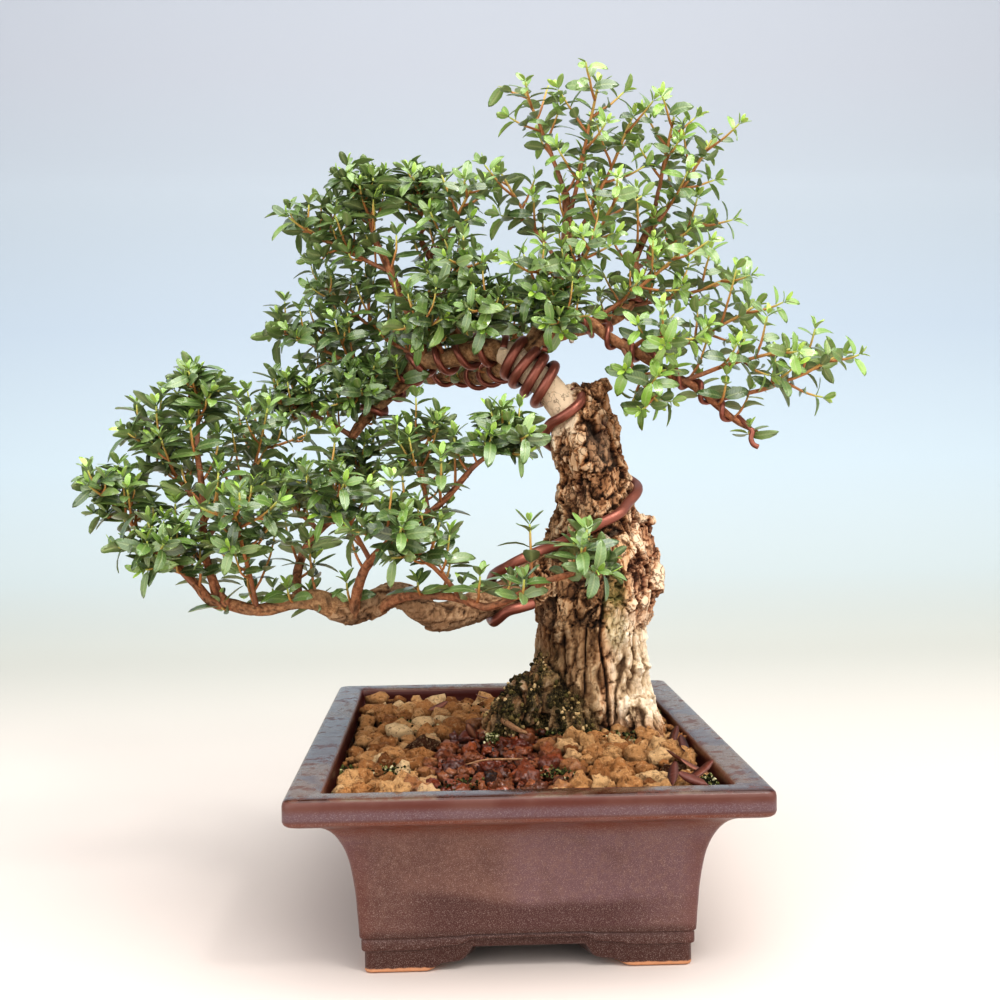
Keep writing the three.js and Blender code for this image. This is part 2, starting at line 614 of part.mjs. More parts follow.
const woodClear = woodBody(GAP);
const wireBodies = {};
const wireClear = [];
for (const [name, { curve, sides }] of Object.entries(WIRES)) {
  wireBodies[name] = stem(curve, sides);
  wireClear.push(stem(curve, sides, 1.3 * GAP));
}
const nearClear = wasm.Manifold.union([woodClear, ...wireClear]);

// Stems first for every spray, so that no later leaf takes the place of a twig
const plans = SPRAYS.map(([limb, share, tip, lift], index) => {
  const curve = smooth(LIMBS[limb], 3);
  const reach = lengths(curve);
  const { point, side, up } = pointAt(curve, frames(curve), reach, share * reach[reach.length - 1]);
  const base = point.slice(0, 3);
  const stems = sprayStems(base, tip, lift, 101 + 37 * index);
  const [a, b, c] = stems[0];
  const heading = bezierHeading(a, b, c, 0);
  const slant = Math.abs(dot(heading, cross(side, up)));
  const across = Math.sqrt(1 - slant * slant);
  const skip = share < 1 ? (point[3] + GAP + 0.2) / Math.max(0.74, across) : GAP + 0.2 + point[3] * across;
  return { index, stems, start: skip / (size(sub(b, a)) + size(sub(c, b))) };
});
for (const plan of plans) placed.push(...stemPieces(plan.stems[0], 4, 1.1, plan.index));
for (const plan of plans) {
  plan.shoots = [];
  for (const k of SHOOT_ORDER) {
    if (plan.shoots.length === SHOOTS_KEPT) break;
    const pieces = stemPieces(plan.stems[k + 1], 2, 0.8, plan.index);
    const others = placed.filter((piece) => piece.owner !== plan.index);
    if (pieces.some((piece) => others.some((other) => tooClose(piece, other, 0.6)))) continue;
    plan.shoots.push(k);
    placed.push(...pieces);
  }
}

// A leaf has room if it keeps clear of every other twig and leaf; the twig it grows from doesn't count
function hasRoom(leaf, owner, route) {
  const across = cross(leaf.face, leaf.direction);
  const strips = [-0.3, 0, 0.3].map((w) => {
    const a = add(leaf.foot, add(scale(leaf.direction, 0.24 * leaf.length), scale(across, w * leaf.width)));
    const far = Math.abs(w) > 0.1 ? 0.76 : 0.97;
    const droop = scale(leaf.face, -0.15 * leaf.length * far * far);
    const b = add(add(leaf.foot, scale(leaf.direction, far * leaf.length)), add(droop, scale(across, w * leaf.width)));
    return straight(a, b, 0.22 * leaf.width, owner, route, true);
  });
  for (const other of placed) {
    if (other.route === route && !other.leaf) continue;
    const space = other.owner === owner ? 0.1 : 0.4;
    if (strips.some((strip) => tooClose(strip, other, space))) return false;
  }
  placed.push(...strips);
  return true;
}

// Leaf pairs of a stem, from its tip down, as nodes that keep only the leaves that have room
function leafNodes(route, first, seed, wanted, owner) {
  const leaves = stemLeaves(route, first, seed);
  const nodes = [];
  for (let back = 1; back <= leaves[0].pairs && nodes.length < wanted; back += 1) {
    const last = nodes[nodes.length - 1];
    if (last && last.back + 2 > back) continue;
    const pair = leaves.filter((leaf) => leaf.pairs - leaf.pair === back);
    const sides = [null, null, null, null];
    if (hasRoom(pair[0], owner, route)) sides[0] = pair[0];
    if (hasRoom(pair[1], owner, route)) sides[2] = pair[1];
    if (sides[0] || sides[2]) nodes.push({ t: pair[0].t, across: pair[0].across, sides, back });
  }
  return nodes;
}

// The two leaves at the foot of a side shoot, at right angles to it
function besideShoot(route, t, heading, owner) {
  const forward = bezierHeading(...route, t);
  const flat = unit(sub(heading, scale(forward, dot(heading, forward))));
  const other = cross(forward, flat);
  return [1, 0, -1].map((turn) => {
    if (turn === 0) return null;
    const direction = unit(add(scale(other, 0.9 * turn), scale(forward, 0.62)));
    const face = unit(sub(forward, scale(direction, dot(forward, direction))));
    const leaf = { foot: bezier(...route, t), direction, face, length: 12.6, width: 4.6 };
    return hasRoom(leaf, owner, route) ? leaf : null;
  });
}

const sprayBodies = {};
for (const plan of plans) {
  const seed = (k) => 7001 + 53 * plan.index + 11 * k;
  const route = plan.stems[0];
  const [a, b, c] = route;
  const nodes = leafNodes(route, 0.45, seed(0), 1, plan.index);
  for (const k of plan.shoots) {
    const shoot = plan.stems[k + 1];
    const heading = bezierHeading(...shoot, 0);
    const tips = leafNodes(shoot, 0.3, seed(k + 1), 1, plan.index);
    const t = 0.34 + (0.56 * k) / (SHOOTS - 1);
    if (tips.length === 0) tips.push({ t: 1, across: around(bezierHeading(...shoot, 1), 0) });
    const grown = { route: shoot, thick: 0.75, thin: 0.5, nodes: tips };
    nodes.push({ t, across: heading, sides: [grown, ...besideShoot(route, t, heading, plan.index)] });
  }
  nodes.sort((p, q) => p.t - q.t);
  const length = size(sub(b, a)) + size(sub(c, b));
  const start = (length > 60 ? [plan.start, 0.24] : [plan.start]).map((t) => ({ t, across: around(bezierHeading(a, b, c, t), 0) }));
  const kept = [...start];
  const spread = 1.5 / length;
  for (const node of nodes) {
    const last = kept[kept.length - 1];
    if (node.t - last.t < spread) node.t = last.t + spread;
    kept.push(node);
  }
  const name = `spray_${String(plan.index + 1).padStart(2, "0")}`;
  const body = growSpray({ route, thick: 1.15, thin: 0.6, nodes: kept });
  sprayBodies[name] = largest(body.subtract(nearClear));
}

// Wood less the room for the wires, and soil less the room for wood and drain mesh
const wood = largest(woodBody(0).subtract(wasm.Manifold.union(wireClear))).simplify(0.02);

function soilTop(x, y) {
  const away = (x - 22) * (x - 22) + (y - 10) * (y - 10);
  return SOIL_EDGE + SOIL_RISE * Math.exp(-away / 2400);
}
// Granular top as a relief of facets, inside the ring where the soil meets the wall of the pot
function soilBody() {
  const points = [];
  const faces = [];
  const draw = drawsFrom(4243);
  const rows = [...INNER_WALL].reverse().filter((row) => row[2] < SOIL_EDGE);
  const sideX = POT_HALF_X - GAP;
  const sideY = POT_HALF_Y - GAP;
  const edgeCells = 2 * (SOIL_ACROSS + SOIL_ALONG);
  const edge = [];
  for (let i = 0; i < SOIL_ACROSS; i += 1) edge.push([-1 + (2 * i) / SOIL_ACROSS, -1]);
  for (let j = 0; j < SOIL_ALONG; j += 1) edge.push([1, -1 + (2 * j) / SOIL_ALONG]);
  for (let i = 0; i < SOIL_ACROSS; i += 1) edge.push([1 - (2 * i) / SOIL_ACROSS, 1]);
  for (let j = 0; j < SOIL_ALONG; j += 1) edge.push([-1, 1 - (2 * j) / SOIL_ALONG]);
  const corners = [0, SOIL_ACROSS, SOIL_ACROSS + SOIL_ALONG, 2 * SOIL_ACROSS + SOIL_ALONG];

  // Side wall: corner points only, below the top edge
  const walls = rows.map(([setback, , height]) => corners.map((index) => {
    const [ex, ey] = edge[index];
    const z = height === POT_FLOOR ? POT_FLOOR + GAP : height;
    return points.push([ex * (sideX - setback - 1.3), ey * (sideY - setback - 1.3), z]) - 1;
  }));
  faces.push([walls[0][0], walls[0][2], walls[0][1]], [walls[0][0], walls[0][3], walls[0][2]]);
  for (let r = 0; r + 1 < walls.length; r += 1) {
    for (let k = 0; k < 4; k += 1) {
      const next = (k + 1) % 4;
      faces.push([walls[r][k], walls[r][next], walls[r + 1][next]], [walls[r][k], walls[r + 1][next], walls[r + 1][k]]);
    }
  }

  // Top: a grid whose inner points are raised and lowered by the granules
  const halfX = sideX - 11.8;
  const halfY = sideY - 11.8;
  const grid = [];
  for (let i = 0; i <= SOIL_ACROSS; i += 1) {
    const column = [];
    for (let j = 0; j <= SOIL_ALONG; j += 1) {
      const border = i === 0 || j === 0 || i === SOIL_ACROSS || j === SOIL_ALONG;
      const shake = border ? 0 : 1;
      const cornered = i % SOIL_ACROSS === 0 && j % SOIL_ALONG === 0 ? 0.8 : 0;
      const x = (halfX - cornered) * (-1 + (2 * i) / SOIL_ACROSS) + shake * 2.4 * (draw() - 0.5);
      const y = (halfY - cornered) * (-1 + (2 * j) / SOIL_ALONG) + shake * 2.4 * (draw() - 0.5);
      column.push(points.push([x, y, soilTop(x, y) + shake * 2.6 * (draw() - 0.5)]) - 1);
    }
    grid.push(column);
  }
  for (let i = 0; i < SOIL_ACROSS; i += 1) {
    for (let j = 0; j < SOIL_ALONG; j += 1) {
      const [a, b, c, d] = [grid[i][j], grid[i + 1][j], grid[i + 1][j + 1], grid[i][j + 1]];
      if ((i + j) % 2) faces.push([a, b, c], [a, c, d]);
      else faces.push([a, b, d], [b, c, d]);
    }
  }

  // Skirt between the top edge and the four corner points of the wall
  const loop = [];
  for (let i = 0; i < SOIL_ACROSS; i += 1) loop.push(grid[i][0]);
  for (let j = 0; j < SOIL_ALONG; j += 1) loop.push(grid[SOIL_ACROSS][j]);
  for (let i = SOIL_ACROSS; i > 0; i -= 1) loop.push(grid[i][SOIL_ALONG]);
  for (let j = SOIL_ALONG; j > 0; j -= 1) loop.push(grid[0][j]);
  const top = walls[walls.length - 1];
  for (let k = 0; k < 4; k += 1) {
    const first = corners[k];
    const last = k === 3 ? edgeCells : corners[k + 1];
    for (let i = first; i < last; i += 1) faces.push([top[k], loop[(i + 1) % edgeCells], loop[i % edgeCells]]);
    faces.push([top[k], top[(k + 1) % 4], loop[last % edgeCells]]);
  }
  return solid(points, faces);
}
let soil = soilBody();
const grainDraw = drawsFrom(977);
const grains = [];
while (grains.length < GRAIN_COUNT) {
  const x = (2 * grainDraw() - 1) * 50;
  const y = (2 * grainDraw() - 1) * 80;
  const radius = 2.3 + 1.5 * grainDraw();
  const spin = 6.2832 * grainDraw();
  const lean = 0.5 * grainDraw();
  if (Math.hypot(x - 31, y - 14) < 36 + radius) continue;
  if (x < 20 && x > -18 && Math.abs(y) < 16) continue;
  const grain = new THREE.BoxGeometry(2.3 * radius, 2 * radius, 1.8 * radius);
  grain.rotateX(lean);
  grain.rotateY(0.4 - lean);
  grain.rotateZ(spin);
  grain.translate(x, y, soilTop(x, y) + 0.9);
  grains.push(fromGeometry(grain));
}
soil = wasm.Manifold.union([soil, ...grains]);
for (const y of [-DRAIN_Y, DRAIN_Y]) {
  const reach = SCREEN_HALF + GAP;
  soil = soil.subtract(box([-reach, y - reach, 0], [reach, y + reach, POT_FLOOR + SCREEN_THICK + 2 * GAP]));
}
soil = largest(soil.subtract(woodClear)).simplify(0.02);

// Materials: name, colour, roughness, metalness
function material(name, colour, roughness, metalness = 0) {
  const out = new THREE.MeshStandardMaterial({ color: colour, roughness, metalness });
  out.name = name;
  return out;
}
const GLAZE = material("mauve_glaze", "#6b5258", 0.3);
const SCREEN = material("black_plastic_mesh", "#1c1c1c", 0.6);
const SOIL = material("akadama_soil", "#9a6b43", 0.95);
const BARK = material("myrtle_bark", "#a88a6c", 0.9);
const WIRE = material("copper_brown_wire", "#8a5232", 0.4, 0.8);
const LEAF = material("myrtle_leaf", "#4e7a26", 0.55);

const part = new THREE.Group();
part.name = "common_myrtle_bonsai";
const pieces = [
  ["pot", pot, GLAZE],
  ["drain_screen_front", drainScreen(-DRAIN_Y), SCREEN],
  ["drain_screen_back", drainScreen(DRAIN_Y), SCREEN],
  ["soil", soil, SOIL],
  ["wood", wood, BARK],
];
for (const [name, body] of Object.entries(wireBodies)) pieces.push([name, body, WIRE]);
for (const [name, body] of Object.entries(sprayBodies)) pieces.push([name, body, LEAF]);

// Everything is moved together so that the origin is the middle of the bottom of the whole object
const low = [Infinity, Infinity];
const high = [-Infinity, -Infinity];
for (const [, body] of pieces) {
  const reach = body.boundingBox();
  for (const c of [0, 1]) {
    low[c] = Math.min(low[c], reach.min[c]);
    high[c] = Math.max(high[c], reach.max[c]);
  }
}
const shift = [-(low[0] + high[0]) / 2, -(low[1] + high[1]) / 2, 0];

for (const [name, body, look] of pieces) {
  const mesh = body.translate(shift).getMesh();
  const geometry = new THREE.BufferGeometry();
  geometry.setAttribute("position", new THREE.BufferAttribute(new Float32Array(mesh.vertProperties), 3));
  geometry.setIndex(new THREE.BufferAttribute(new Uint32Array(mesh.triVerts), 1));
  geometry.computeVertexNormals();
  const node = new THREE.Mesh(geometry, look);
  node.name = name;
  part.add(node);
}

export default part;
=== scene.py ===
"""Common myrtle bonsai in a glazed pot: the finished looks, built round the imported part."""

import bmesh
import bpy
import numpy as np
from mathutils import Matrix, Vector


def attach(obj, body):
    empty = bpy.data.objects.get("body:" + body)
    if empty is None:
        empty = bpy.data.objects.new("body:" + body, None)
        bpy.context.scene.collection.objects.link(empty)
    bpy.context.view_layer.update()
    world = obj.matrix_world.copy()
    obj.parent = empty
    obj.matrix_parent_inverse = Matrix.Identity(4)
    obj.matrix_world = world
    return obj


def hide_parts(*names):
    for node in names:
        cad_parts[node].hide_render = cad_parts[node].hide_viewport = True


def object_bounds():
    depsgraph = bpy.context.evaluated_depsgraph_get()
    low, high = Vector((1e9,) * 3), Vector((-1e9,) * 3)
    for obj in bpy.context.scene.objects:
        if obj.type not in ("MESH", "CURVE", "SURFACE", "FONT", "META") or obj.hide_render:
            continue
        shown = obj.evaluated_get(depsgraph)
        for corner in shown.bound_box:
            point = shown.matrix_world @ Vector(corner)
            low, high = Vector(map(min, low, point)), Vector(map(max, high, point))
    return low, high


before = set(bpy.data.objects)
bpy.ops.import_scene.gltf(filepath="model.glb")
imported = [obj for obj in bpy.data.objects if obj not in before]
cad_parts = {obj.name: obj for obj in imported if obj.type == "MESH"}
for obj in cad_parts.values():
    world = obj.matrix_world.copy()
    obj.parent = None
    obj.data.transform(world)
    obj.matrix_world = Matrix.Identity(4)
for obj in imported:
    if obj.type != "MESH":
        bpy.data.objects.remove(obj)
cad_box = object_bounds()

# Pot: rectangular stoneware with a wide rim, a flared body and four bracket feet. It is slip cast
# in one piece, dipped in a mauve-brown speckled glaze and fired standing on its bare feet.
POT_MIDDLE = np.array([10.831, 0.0, 0.0])
POT_HALF_X = 75.0
POT_HALF_Y = 106.0
FOOT_TOP = 12.4
UNDERSIDE = 8
FLOOR_TOP = 15
# rows of each wall: setback from the face of the rim, radius of the corners, height
FOOT_WALL = [
    [22.75, 2, 0.7], [22.75, 2, 6.7], [22.5, 2, 7.0], [21.95, 2, 7.2], [21.75, 2, 7.6], [21.75, 2, 10.5],
    [21.9, 2, 10.8], [21.9, 2, 11.1], [21.5, 2, 11.3], [21.25, 2, 11.7], [21.2, 2, FOOT_TOP],
]
BODY_WALL = [
    [21.2, 2, FOOT_TOP], [20.7, 2, 20], [20, 2, 28], [18.2, 2.1, 38], [15.2, 2.2, 45], [11.6, 2.5, 49],
    [6.8, 2.8, 51.2], [2.4, 3, 52.2],
]
RIM = [
    [1.0, 3, 52.7], [0.3, 3, 53.4], [0, 3, 54.4], [0, 3, 56.4], [0, 3, 59.0], [0.25, 3, 60.1],
    [0.9, 2.8, 60.75], [1.8, 2.6, 61], [5, 2.4, 60.9], [9.2, 2.2, 60.9], [10.2, 2.2, 60.7],
    [10.9, 2.2, 60.1],
]
INNER_WALL = [
    [11.4, 2.3, 59], [12.0, 2.4, 53], [19.5, 3.5, 44], [23.5, 4, 36], [25.3, 4, 27], [26.4, 4, 16.4],
]
FLOOR = [[27, 4, 15.2], [28, 4, FLOOR_TOP], [50, 4, FLOOR_TOP]]
INNER_FOOT = [
    [50, 2, UNDERSIDE], [34, 2, UNDERSIDE], [33.1, 2, 7.9], [32.8, 2, 7.4], [32.8, 2, 0.7], [32.5, 2, 0.15],
    [31.9, 2, 0], [23.6, 2, 0], [23.0, 2, 0.15],
]
# lower edge of the foot wall: distance from the corner, and the height of the edge there
FOOT_CORNER = 24.8
FOOT_EDGE = [[0, 17, 18.5, 20.5, 22.5, 27, 29.4, 30.4, 31.2, 32, 300],
             [0, 0, 0.3, 1.5, 2.4, 2.9, 3.5, 4.8, 6.6, 7.6, 7.6]]
LONG_FOOT = 34 / 30
DRAIN_RADIUS = 10.0
DRAIN_Y = 45.0


def put_points(mesh, points):
    """Places in mm from the middle of the pot, laid into a mesh in metres."""
    mesh.vertices.foreach_set("co", ((points + POT_MIDDLE) * 0.001).astype(np.float32).ravel())


def put_marks(mesh, marks):
    """Numbers for the points of a mesh, which its finish reads by their names."""
    for mark, values in marks.items():
        layer = mesh.attributes.new(mark, "FLOAT", "POINT")
        layer.data.foreach_set("value", np.asarray(values, np.float32))


def piece(name, points, faces, finishes, slot, **marks):
    """A mesh object from arrays in mm: faces holds, for each finish, the arrays of its corner numbers."""
    arrays = [array for group in faces for array in group]
    mesh = bpy.data.meshes.new(name)
    mesh.vertices.add(len(points))
    put_points(mesh, points)
    corners = np.concatenate([array.ravel() for array in arrays]).astype(np.int32)
    counts = np.concatenate([np.full(len(array), array.shape[1]) for array in arrays])
    kinds = np.repeat(np.arange(len(faces)), [sum(map(len, group)) for group in faces]).astype(np.int32)
    mesh.loops.add(len(corners))
    mesh.loops.foreach_set("vertex_index", corners)
    mesh.polygons.add(len(counts))
    mesh.polygons.foreach_set("loop_start", (np.cumsum(counts) - counts).astype(np.int32))
    mesh.polygons.foreach_set("material_index", kinds)
    mesh.polygons.foreach_set("use_smooth", np.ones(len(counts), bool))
    put_marks(mesh, marks)
    mesh.update(calc_edges=True)
    for finish in finishes:
        mesh.materials.append(finish.material)
    thing = bpy.data.objects.new(name, mesh)
    bpy.context.scene.collection.objects.link(thing)
    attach(thing, "root")
    return thing


def settle(thing, modifier):
    """Work a modifier into the mesh of its object."""
    with bpy.context.temp_override(object=thing, active_object=thing):
        bpy.ops.object.modifier_apply(modifier=modifier.name)


def grid_faces(rows, columns):
    """Four-sided faces of a grid whose columns close on themselves, row after row."""
    row, column = np.meshgrid(np.arange(rows - 1), np.arange(columns), indexing="ij")
    across = (column + 1) % columns
    return np.stack([row * columns + column, row * columns + across,
                     (row + 1) * columns + across, (row + 1) * columns + column], -1).reshape(-1, 4)


def end_faces(rows, columns):
    """Three-sided faces that close such a grid: its first ring and its last, each drawn to a point."""
    around = np.arange(columns)
    onward = (around + 1) % columns
    last = (rows - 1) * columns
    start = np.stack([np.full(columns, rows * columns), onward, around], 1)
    end = np.stack([np.full(columns, rows * columns + 1), last + around, last + onward], 1)
    return np.concatenate([start, end])


def closed_rings(rings, bottom, top):
    """Points, four-sided and three-sided faces of a closed body from its rings and its two end points."""
    rows, columns = rings.shape[:2]
    points = np.concatenate([rings.reshape(-1, 3), [bottom], [top]])
    return points, grid_faces(rows, columns), end_faces(rows, columns)


def rim_stations(along_x, along_y, turn):
    """Stations round a rounded rectangle: place of each between the corners, and its direction out.

    The corners stand at 1 and -1, each with a quarter circle of turn stations, and straight sides between.
    """
    corners = np.array([[1, 1], [-1, 1], [-1, -1], [1, -1]], float)
    anchors, outward = [], []
    for quarter in range(4):
        angle = (quarter + np.linspace(0, 1, turn)) * np.pi / 2
        anchors.append(np.tile(corners[quarter], (turn, 1)))
        outward.append(np.stack([np.cos(angle), np.sin(angle)], 1))
        count = (along_x, along_y)[quarter % 2]
        share = np.linspace(0, 1, count + 2)[1:-1, None]
        anchors.append(corners[quarter] * (1 - share) + corners[(quarter + 1) % 4] * share)
        outward.append(np.tile([np.cos(angle[-1]), np.sin(angle[-1])], (count, 1)))
    return np.concatenate(anchors), np.concatenate(outward)


def wall_rings(rows, anchors, outward):
    """Rings of a wall: each row is the setback from the rim's face, the corner radius and the height."""
    rows = np.asarray(rows, float)[:, None, :]
    half = np.array([POT_HALF_X, POT_HALF_Y]) - rows[..., :1] - rows[..., 1:2]
    flat = anchors * half + outward * rows[..., 1:2]
    height = np.broadcast_to(rows[..., 2:], (*flat.shape[:2], 1))
    return np.concatenate([flat, height], -1)


def smooth(route, steps):
    """Curve through the points of a route.

    Each stretch is the cubic that leaves either end along the line between the neighbours of that end.
    """
    route = np.asarray(route, float)
    before = np.vstack([route[:1], route[:-2]])
    first = route[:-1]
    second = route[1:]
    after = np.vstack([route[2:], route[-1:]])
    t = (np.arange(steps) / steps)[None, :, None]
    a, b, c, d = (part[:, None, :] for part in (before, first, second, after))
    curve = 2 * b + (c - a) * t + (2 * a - 5 * b + 4 * c - d) * t * t + (3 * b - a - 3 * c + d) * t ** 3
    return np.vstack([0.5 * curve.reshape(-1, route.shape[1]), route[-1:]])


class Value:
    """A shader socket whose sums, differences and products are Math nodes."""

    def __init__(self, finish, socket):
        self.finish = finish
        self.socket = socket

    def maths(self, operation, *values):
        return self.finish.make("ShaderNodeMath", {"operation": operation}, values)

    def __add__(self, other):
        return self.maths("ADD", self, other)

    def __sub__(self, other):
        return self.maths("SUBTRACT", self, other)

    def __rsub__(self, other):
        return self.maths("SUBTRACT", other, self)

    def __mul__(self, other):
        return self.maths("MULTIPLY", self, other)

    def __abs__(self):
        return self.maths("ABSOLUTE", self)

    __radd__ = __add__
    __rmul__ = __mul__

    def sine(self):
        return self.maths("SINE", self)

    def fade(self, low, high):
        """0 up to low and 1 from high on, eased between."""
        values = {"Value": self, "From Min": low, "From Max": high}
        return self.finish.make("ShaderNodeMapRange", {"interpolation_type": "SMOOTHSTEP"}, values)


class Finish:
    """A material with one Principled shader; what is the same all over is set on its sockets."""

    def __init__(self, name, **constants):
        self.material = bpy.data.materials.new(name)
        self.material.use_nodes = True
        self.tree = self.material.node_tree
        self.shader = self.tree.nodes["Principled BSDF"]
        for socket, value in constants.items():
            self.shader.inputs[socket.replace("_", " ")].default_value = value
        self.place = self.make("ShaderNodeTexCoord", out="Object")
        self.normal = None

    def make(self, kind, settings=None, values=(), out=0):
        """Any node: its settings first, then the values or links of its sockets."""
        node = self.tree.nodes.new(kind)
        for key, setting in (settings or {}).items():
            if key == "stops":
                while len(node.color_ramp.elements) < len(setting):
                    node.color_ramp.elements.new(1.0)
                for stop, (position, colour) in zip(node.color_ramp.elements, setting):
                    stop.position = position
                    stop.color = tint(colour)
            else:
                setattr(node, key, setting)
        pairs = values.items() if isinstance(values, dict) else enumerate(values)
        for key, value in pairs:
            if isinstance(value, Value):
                self.tree.links.new(value.socket, node.inputs[key])
            else:
                node.inputs[key].default_value = value
        return Value(self, node.outputs[out])

    def mark(self, name):
        return self.make("ShaderNodeAttribute", {"attribute_name": name}, out="Fac")

    def axes(self):
        split = self.make("ShaderNodeSeparateXYZ", None, [self.place])
        return [Value(self, socket) for socket in split.socket.node.outputs]

    def stretch(self, x, y, z):
        return self.make("ShaderNodeMapping", None, {"Vector": self.place, "Scale": (x, y, z)})

    def noise(self, scale, detail=3.0, rough=0.5, place=None, out=0):
        values = {"Vector": place or self.place, "Scale": scale, "Detail": detail, "Roughness": rough}
        return self.make("ShaderNodeTexNoise", None, values, out)

    def cracks(self, scale, place):
        """Distance to the edge of the nearest of many cells."""
        values = {"Vector": place, "Scale": scale}
        return self.make("ShaderNodeTexVoronoi", {"feature": "DISTANCE_TO_EDGE"}, values, "Distance")

    def vector(self, operation, first, second):
        return self.make("ShaderNodeVectorMath", {"operation": operation}, [first, second])

    def ramp(self, value, *stops):
        return self.make("ShaderNodeValToRGB", {"stops": stops}, [value])

    def mix(self, share, first, second):
        """The first colour at a share of 0 and the second at 1; six hex digits stand for a colour."""
        first, second = (tint(part) if isinstance(part, str) else part for part in (first, second))
        return self.make("ShaderNodeMix", {"data_type": "RGBA"}, {0: share, 6: first, 7: second}, out=2)

    def relief(self, height, depth):
        """Bump of a height from 0 to 1 and a depth in mm, laid over the earlier ones."""
        values = {"Height": height, "Distance": depth * 0.001, "Strength": 1.0}
        if self.normal:
            values["Normal"] = self.normal
        self.normal = self.make("ShaderNodeBump", None, values)
        self.lay("Normal", self.normal)

    def lay(self, socket, value):
        self.tree.links.new(value.socket, self.shader.inputs[socket])


def tint(code):
    """Six hex digits of a screen colour as light values."""
    steps = [int(code[i:i + 2], 16) / 255 for i in (0, 2, 4)]
    return (*[s / 12.92 if s <= 0.04045 else ((s + 0.055) / 1.055) ** 2.4 for s in steps], 1.0)


def pot_glaze():
    """Mauve-brown speckled glaze, rusty where it is thin and dark where two dips meet, on bare clay feet."""
    glaze = Finish("mauve speckled glaze", Specular_IOR_Level=0.3, Coat_Roughness=0.1)
    x, y, z = glaze.axes()
    away_x = abs(x - 0.0108)
    away_y = abs(y)
    cloud = glaze.noise(38, 4)
    fine = glaze.noise(520, 3, 0.6)
    speck = glaze.noise(3900, 2, 0.6).fade(0.53, 0.68)
    body = glaze.mix(cloud.fade(0.35, 0.65), "573830", "67473d")
    body = glaze.mix(glaze.noise(15, 2).fade(0.46, 0.6) * 0.55, body, "644a52")
    body = glaze.mix(fine.fade(0.4, 0.7) * 0.4, body, "75584c")
    body = glaze.mix(glaze.noise(90, 3).fade(0.55, 0.7) * 0.3, body, "4c2e28")
    # the second dip ends in a wavy line low on each side
    wave = glaze.noise(22, 2)
    middle = 1 - away_x.fade(0.024, 0.05)
    low = 1 - (z + wave * 0.016).fade(0.0295, 0.0335)
    body = glaze.mix(low * (0.2 + middle * 0.65), body, "3a1915")
    body = glaze.mix((1 - z.fade(0.0122, 0.0145)) * 0.8, body, "3b2019")
    rust = z.fade(0.0435, 0.049) * (1 - z.fade(0.0538, 0.0545))
    body = glaze.mix(rust * (0.45 + glaze.noise(60, 3).fade(0.35, 0.6) * 0.5), body, "602e1b")
    body = glaze.mix(speck * 0.5, body, "a18d86")
    # rim face: rusty lower edge, a blue-violet pool above it and brown up to the lip
    face = z.fade(0.0538, 0.0545)
    body = glaze.mix(face, body, glaze.mix(cloud.fade(0.4, 0.6), "4d241a", "57342b"))
    pool = z.fade(0.0540, 0.0552) * (1 - z.fade(0.0562, 0.0586))
    body = glaze.mix(pool * (0.3 + fine * 0.5), body, "5a4850")
    body = glaze.mix(speck * pool * 0.4, body, "948884")
    top = z.fade(0.0601, 0.0607)
    patches = glaze.noise(45, 3, 0.6).fade(0.42, 0.58)
    body = glaze.mix(top, body, glaze.mix(patches, "35170f", "5a4638"))
    worn = glaze.noise(130, 4, 0.65).fade(0.52, 0.62)
    body = glaze.mix(top * worn * 0.6, body, "54281b")
    # inside the rim the glaze is thick and maroon, and down the corners it is thin and rusty
    body = glaze.mix(glaze.mark("inside").fade(0.3, 0.7), body, "461c18")
    corner = away_x.fade(0.0475, 0.0535) * away_y.fade(0.0785, 0.0845) * (1 - z.fade(0.040, 0.047))
    body = glaze.mix(corner * 0.35, body, "5b2e24")
    # the feet were wiped clean of glaze where they stood in the kiln
    clay = 1 - (z + glaze.noise(300, 3) * 0.0011).fade(0.0016, 0.0021)
    body = glaze.mix(clay, body, glaze.mix(glaze.noise(900, 3), "b27a55", "c79472"))
    glaze.lay("Base Color", body)
    glaze.lay("Roughness", 0.24 + clay * 0.5 + fine * 0.22 + top * (worn * 0.22 + patches * 0.1 - 0.16))
    glaze.lay("Coat Weight", (1 - clay) * 0.14)
    glaze.relief(glaze.noise(150, 2), 0.2)
    glaze.relief(glaze.noise(1300, 2), 0.05)
    return glaze


anchors, outward = rim_stations(80, 92, 8)
across_x = np.abs(outward[:, 0]) > 0.999
corner_gap = np.where(across_x, (1 - np.abs(anchors[:, 1])) * (POT_HALF_Y - FOOT_CORNER),
                      (1 - np.abs(anchors[:, 0])) * (POT_HALF_X - FOOT_CORNER))
lowest = np.interp(corner_gap / np.where(across_x, LONG_FOOT, 1.0), *FOOT_EDGE)
# the walls of the feet are squeezed up where the lower edge arches between them
hidden = wall_rings(INNER_FOOT, anchors, outward)
hidden[..., 2] = lowest + hidden[..., 2] * (UNDERSIDE - lowest) / UNDERSIDE
shown = wall_rings(FOOT_WALL, anchors, outward)
shown[..., 2] = lowest + shown[..., 2] * (FOOT_TOP - lowest) / FOOT_TOP
lining = np.vstack([smooth(INNER_WALL, 3), FLOOR])
upper = wall_rings(np.vstack([smooth(BODY_WALL, 4)[1:], RIM, lining]), anchors, outward)
rings = np.concatenate([hidden, shown, upper])
pot_points, pot_quads, pot_threes = closed_rings(rings, [0, 0, UNDERSIDE], [0, 0, FLOOR_TOP])
lined = np.repeat(np.arange(len(rings)) >= len(rings) - len(lining), len(anchors))
pot = piece("pot_glazed", pot_points, [[pot_quads, pot_threes]], [pot_glaze()], "mauve_glaze",
            inside=np.append(lined, [False, True]).astype(float))
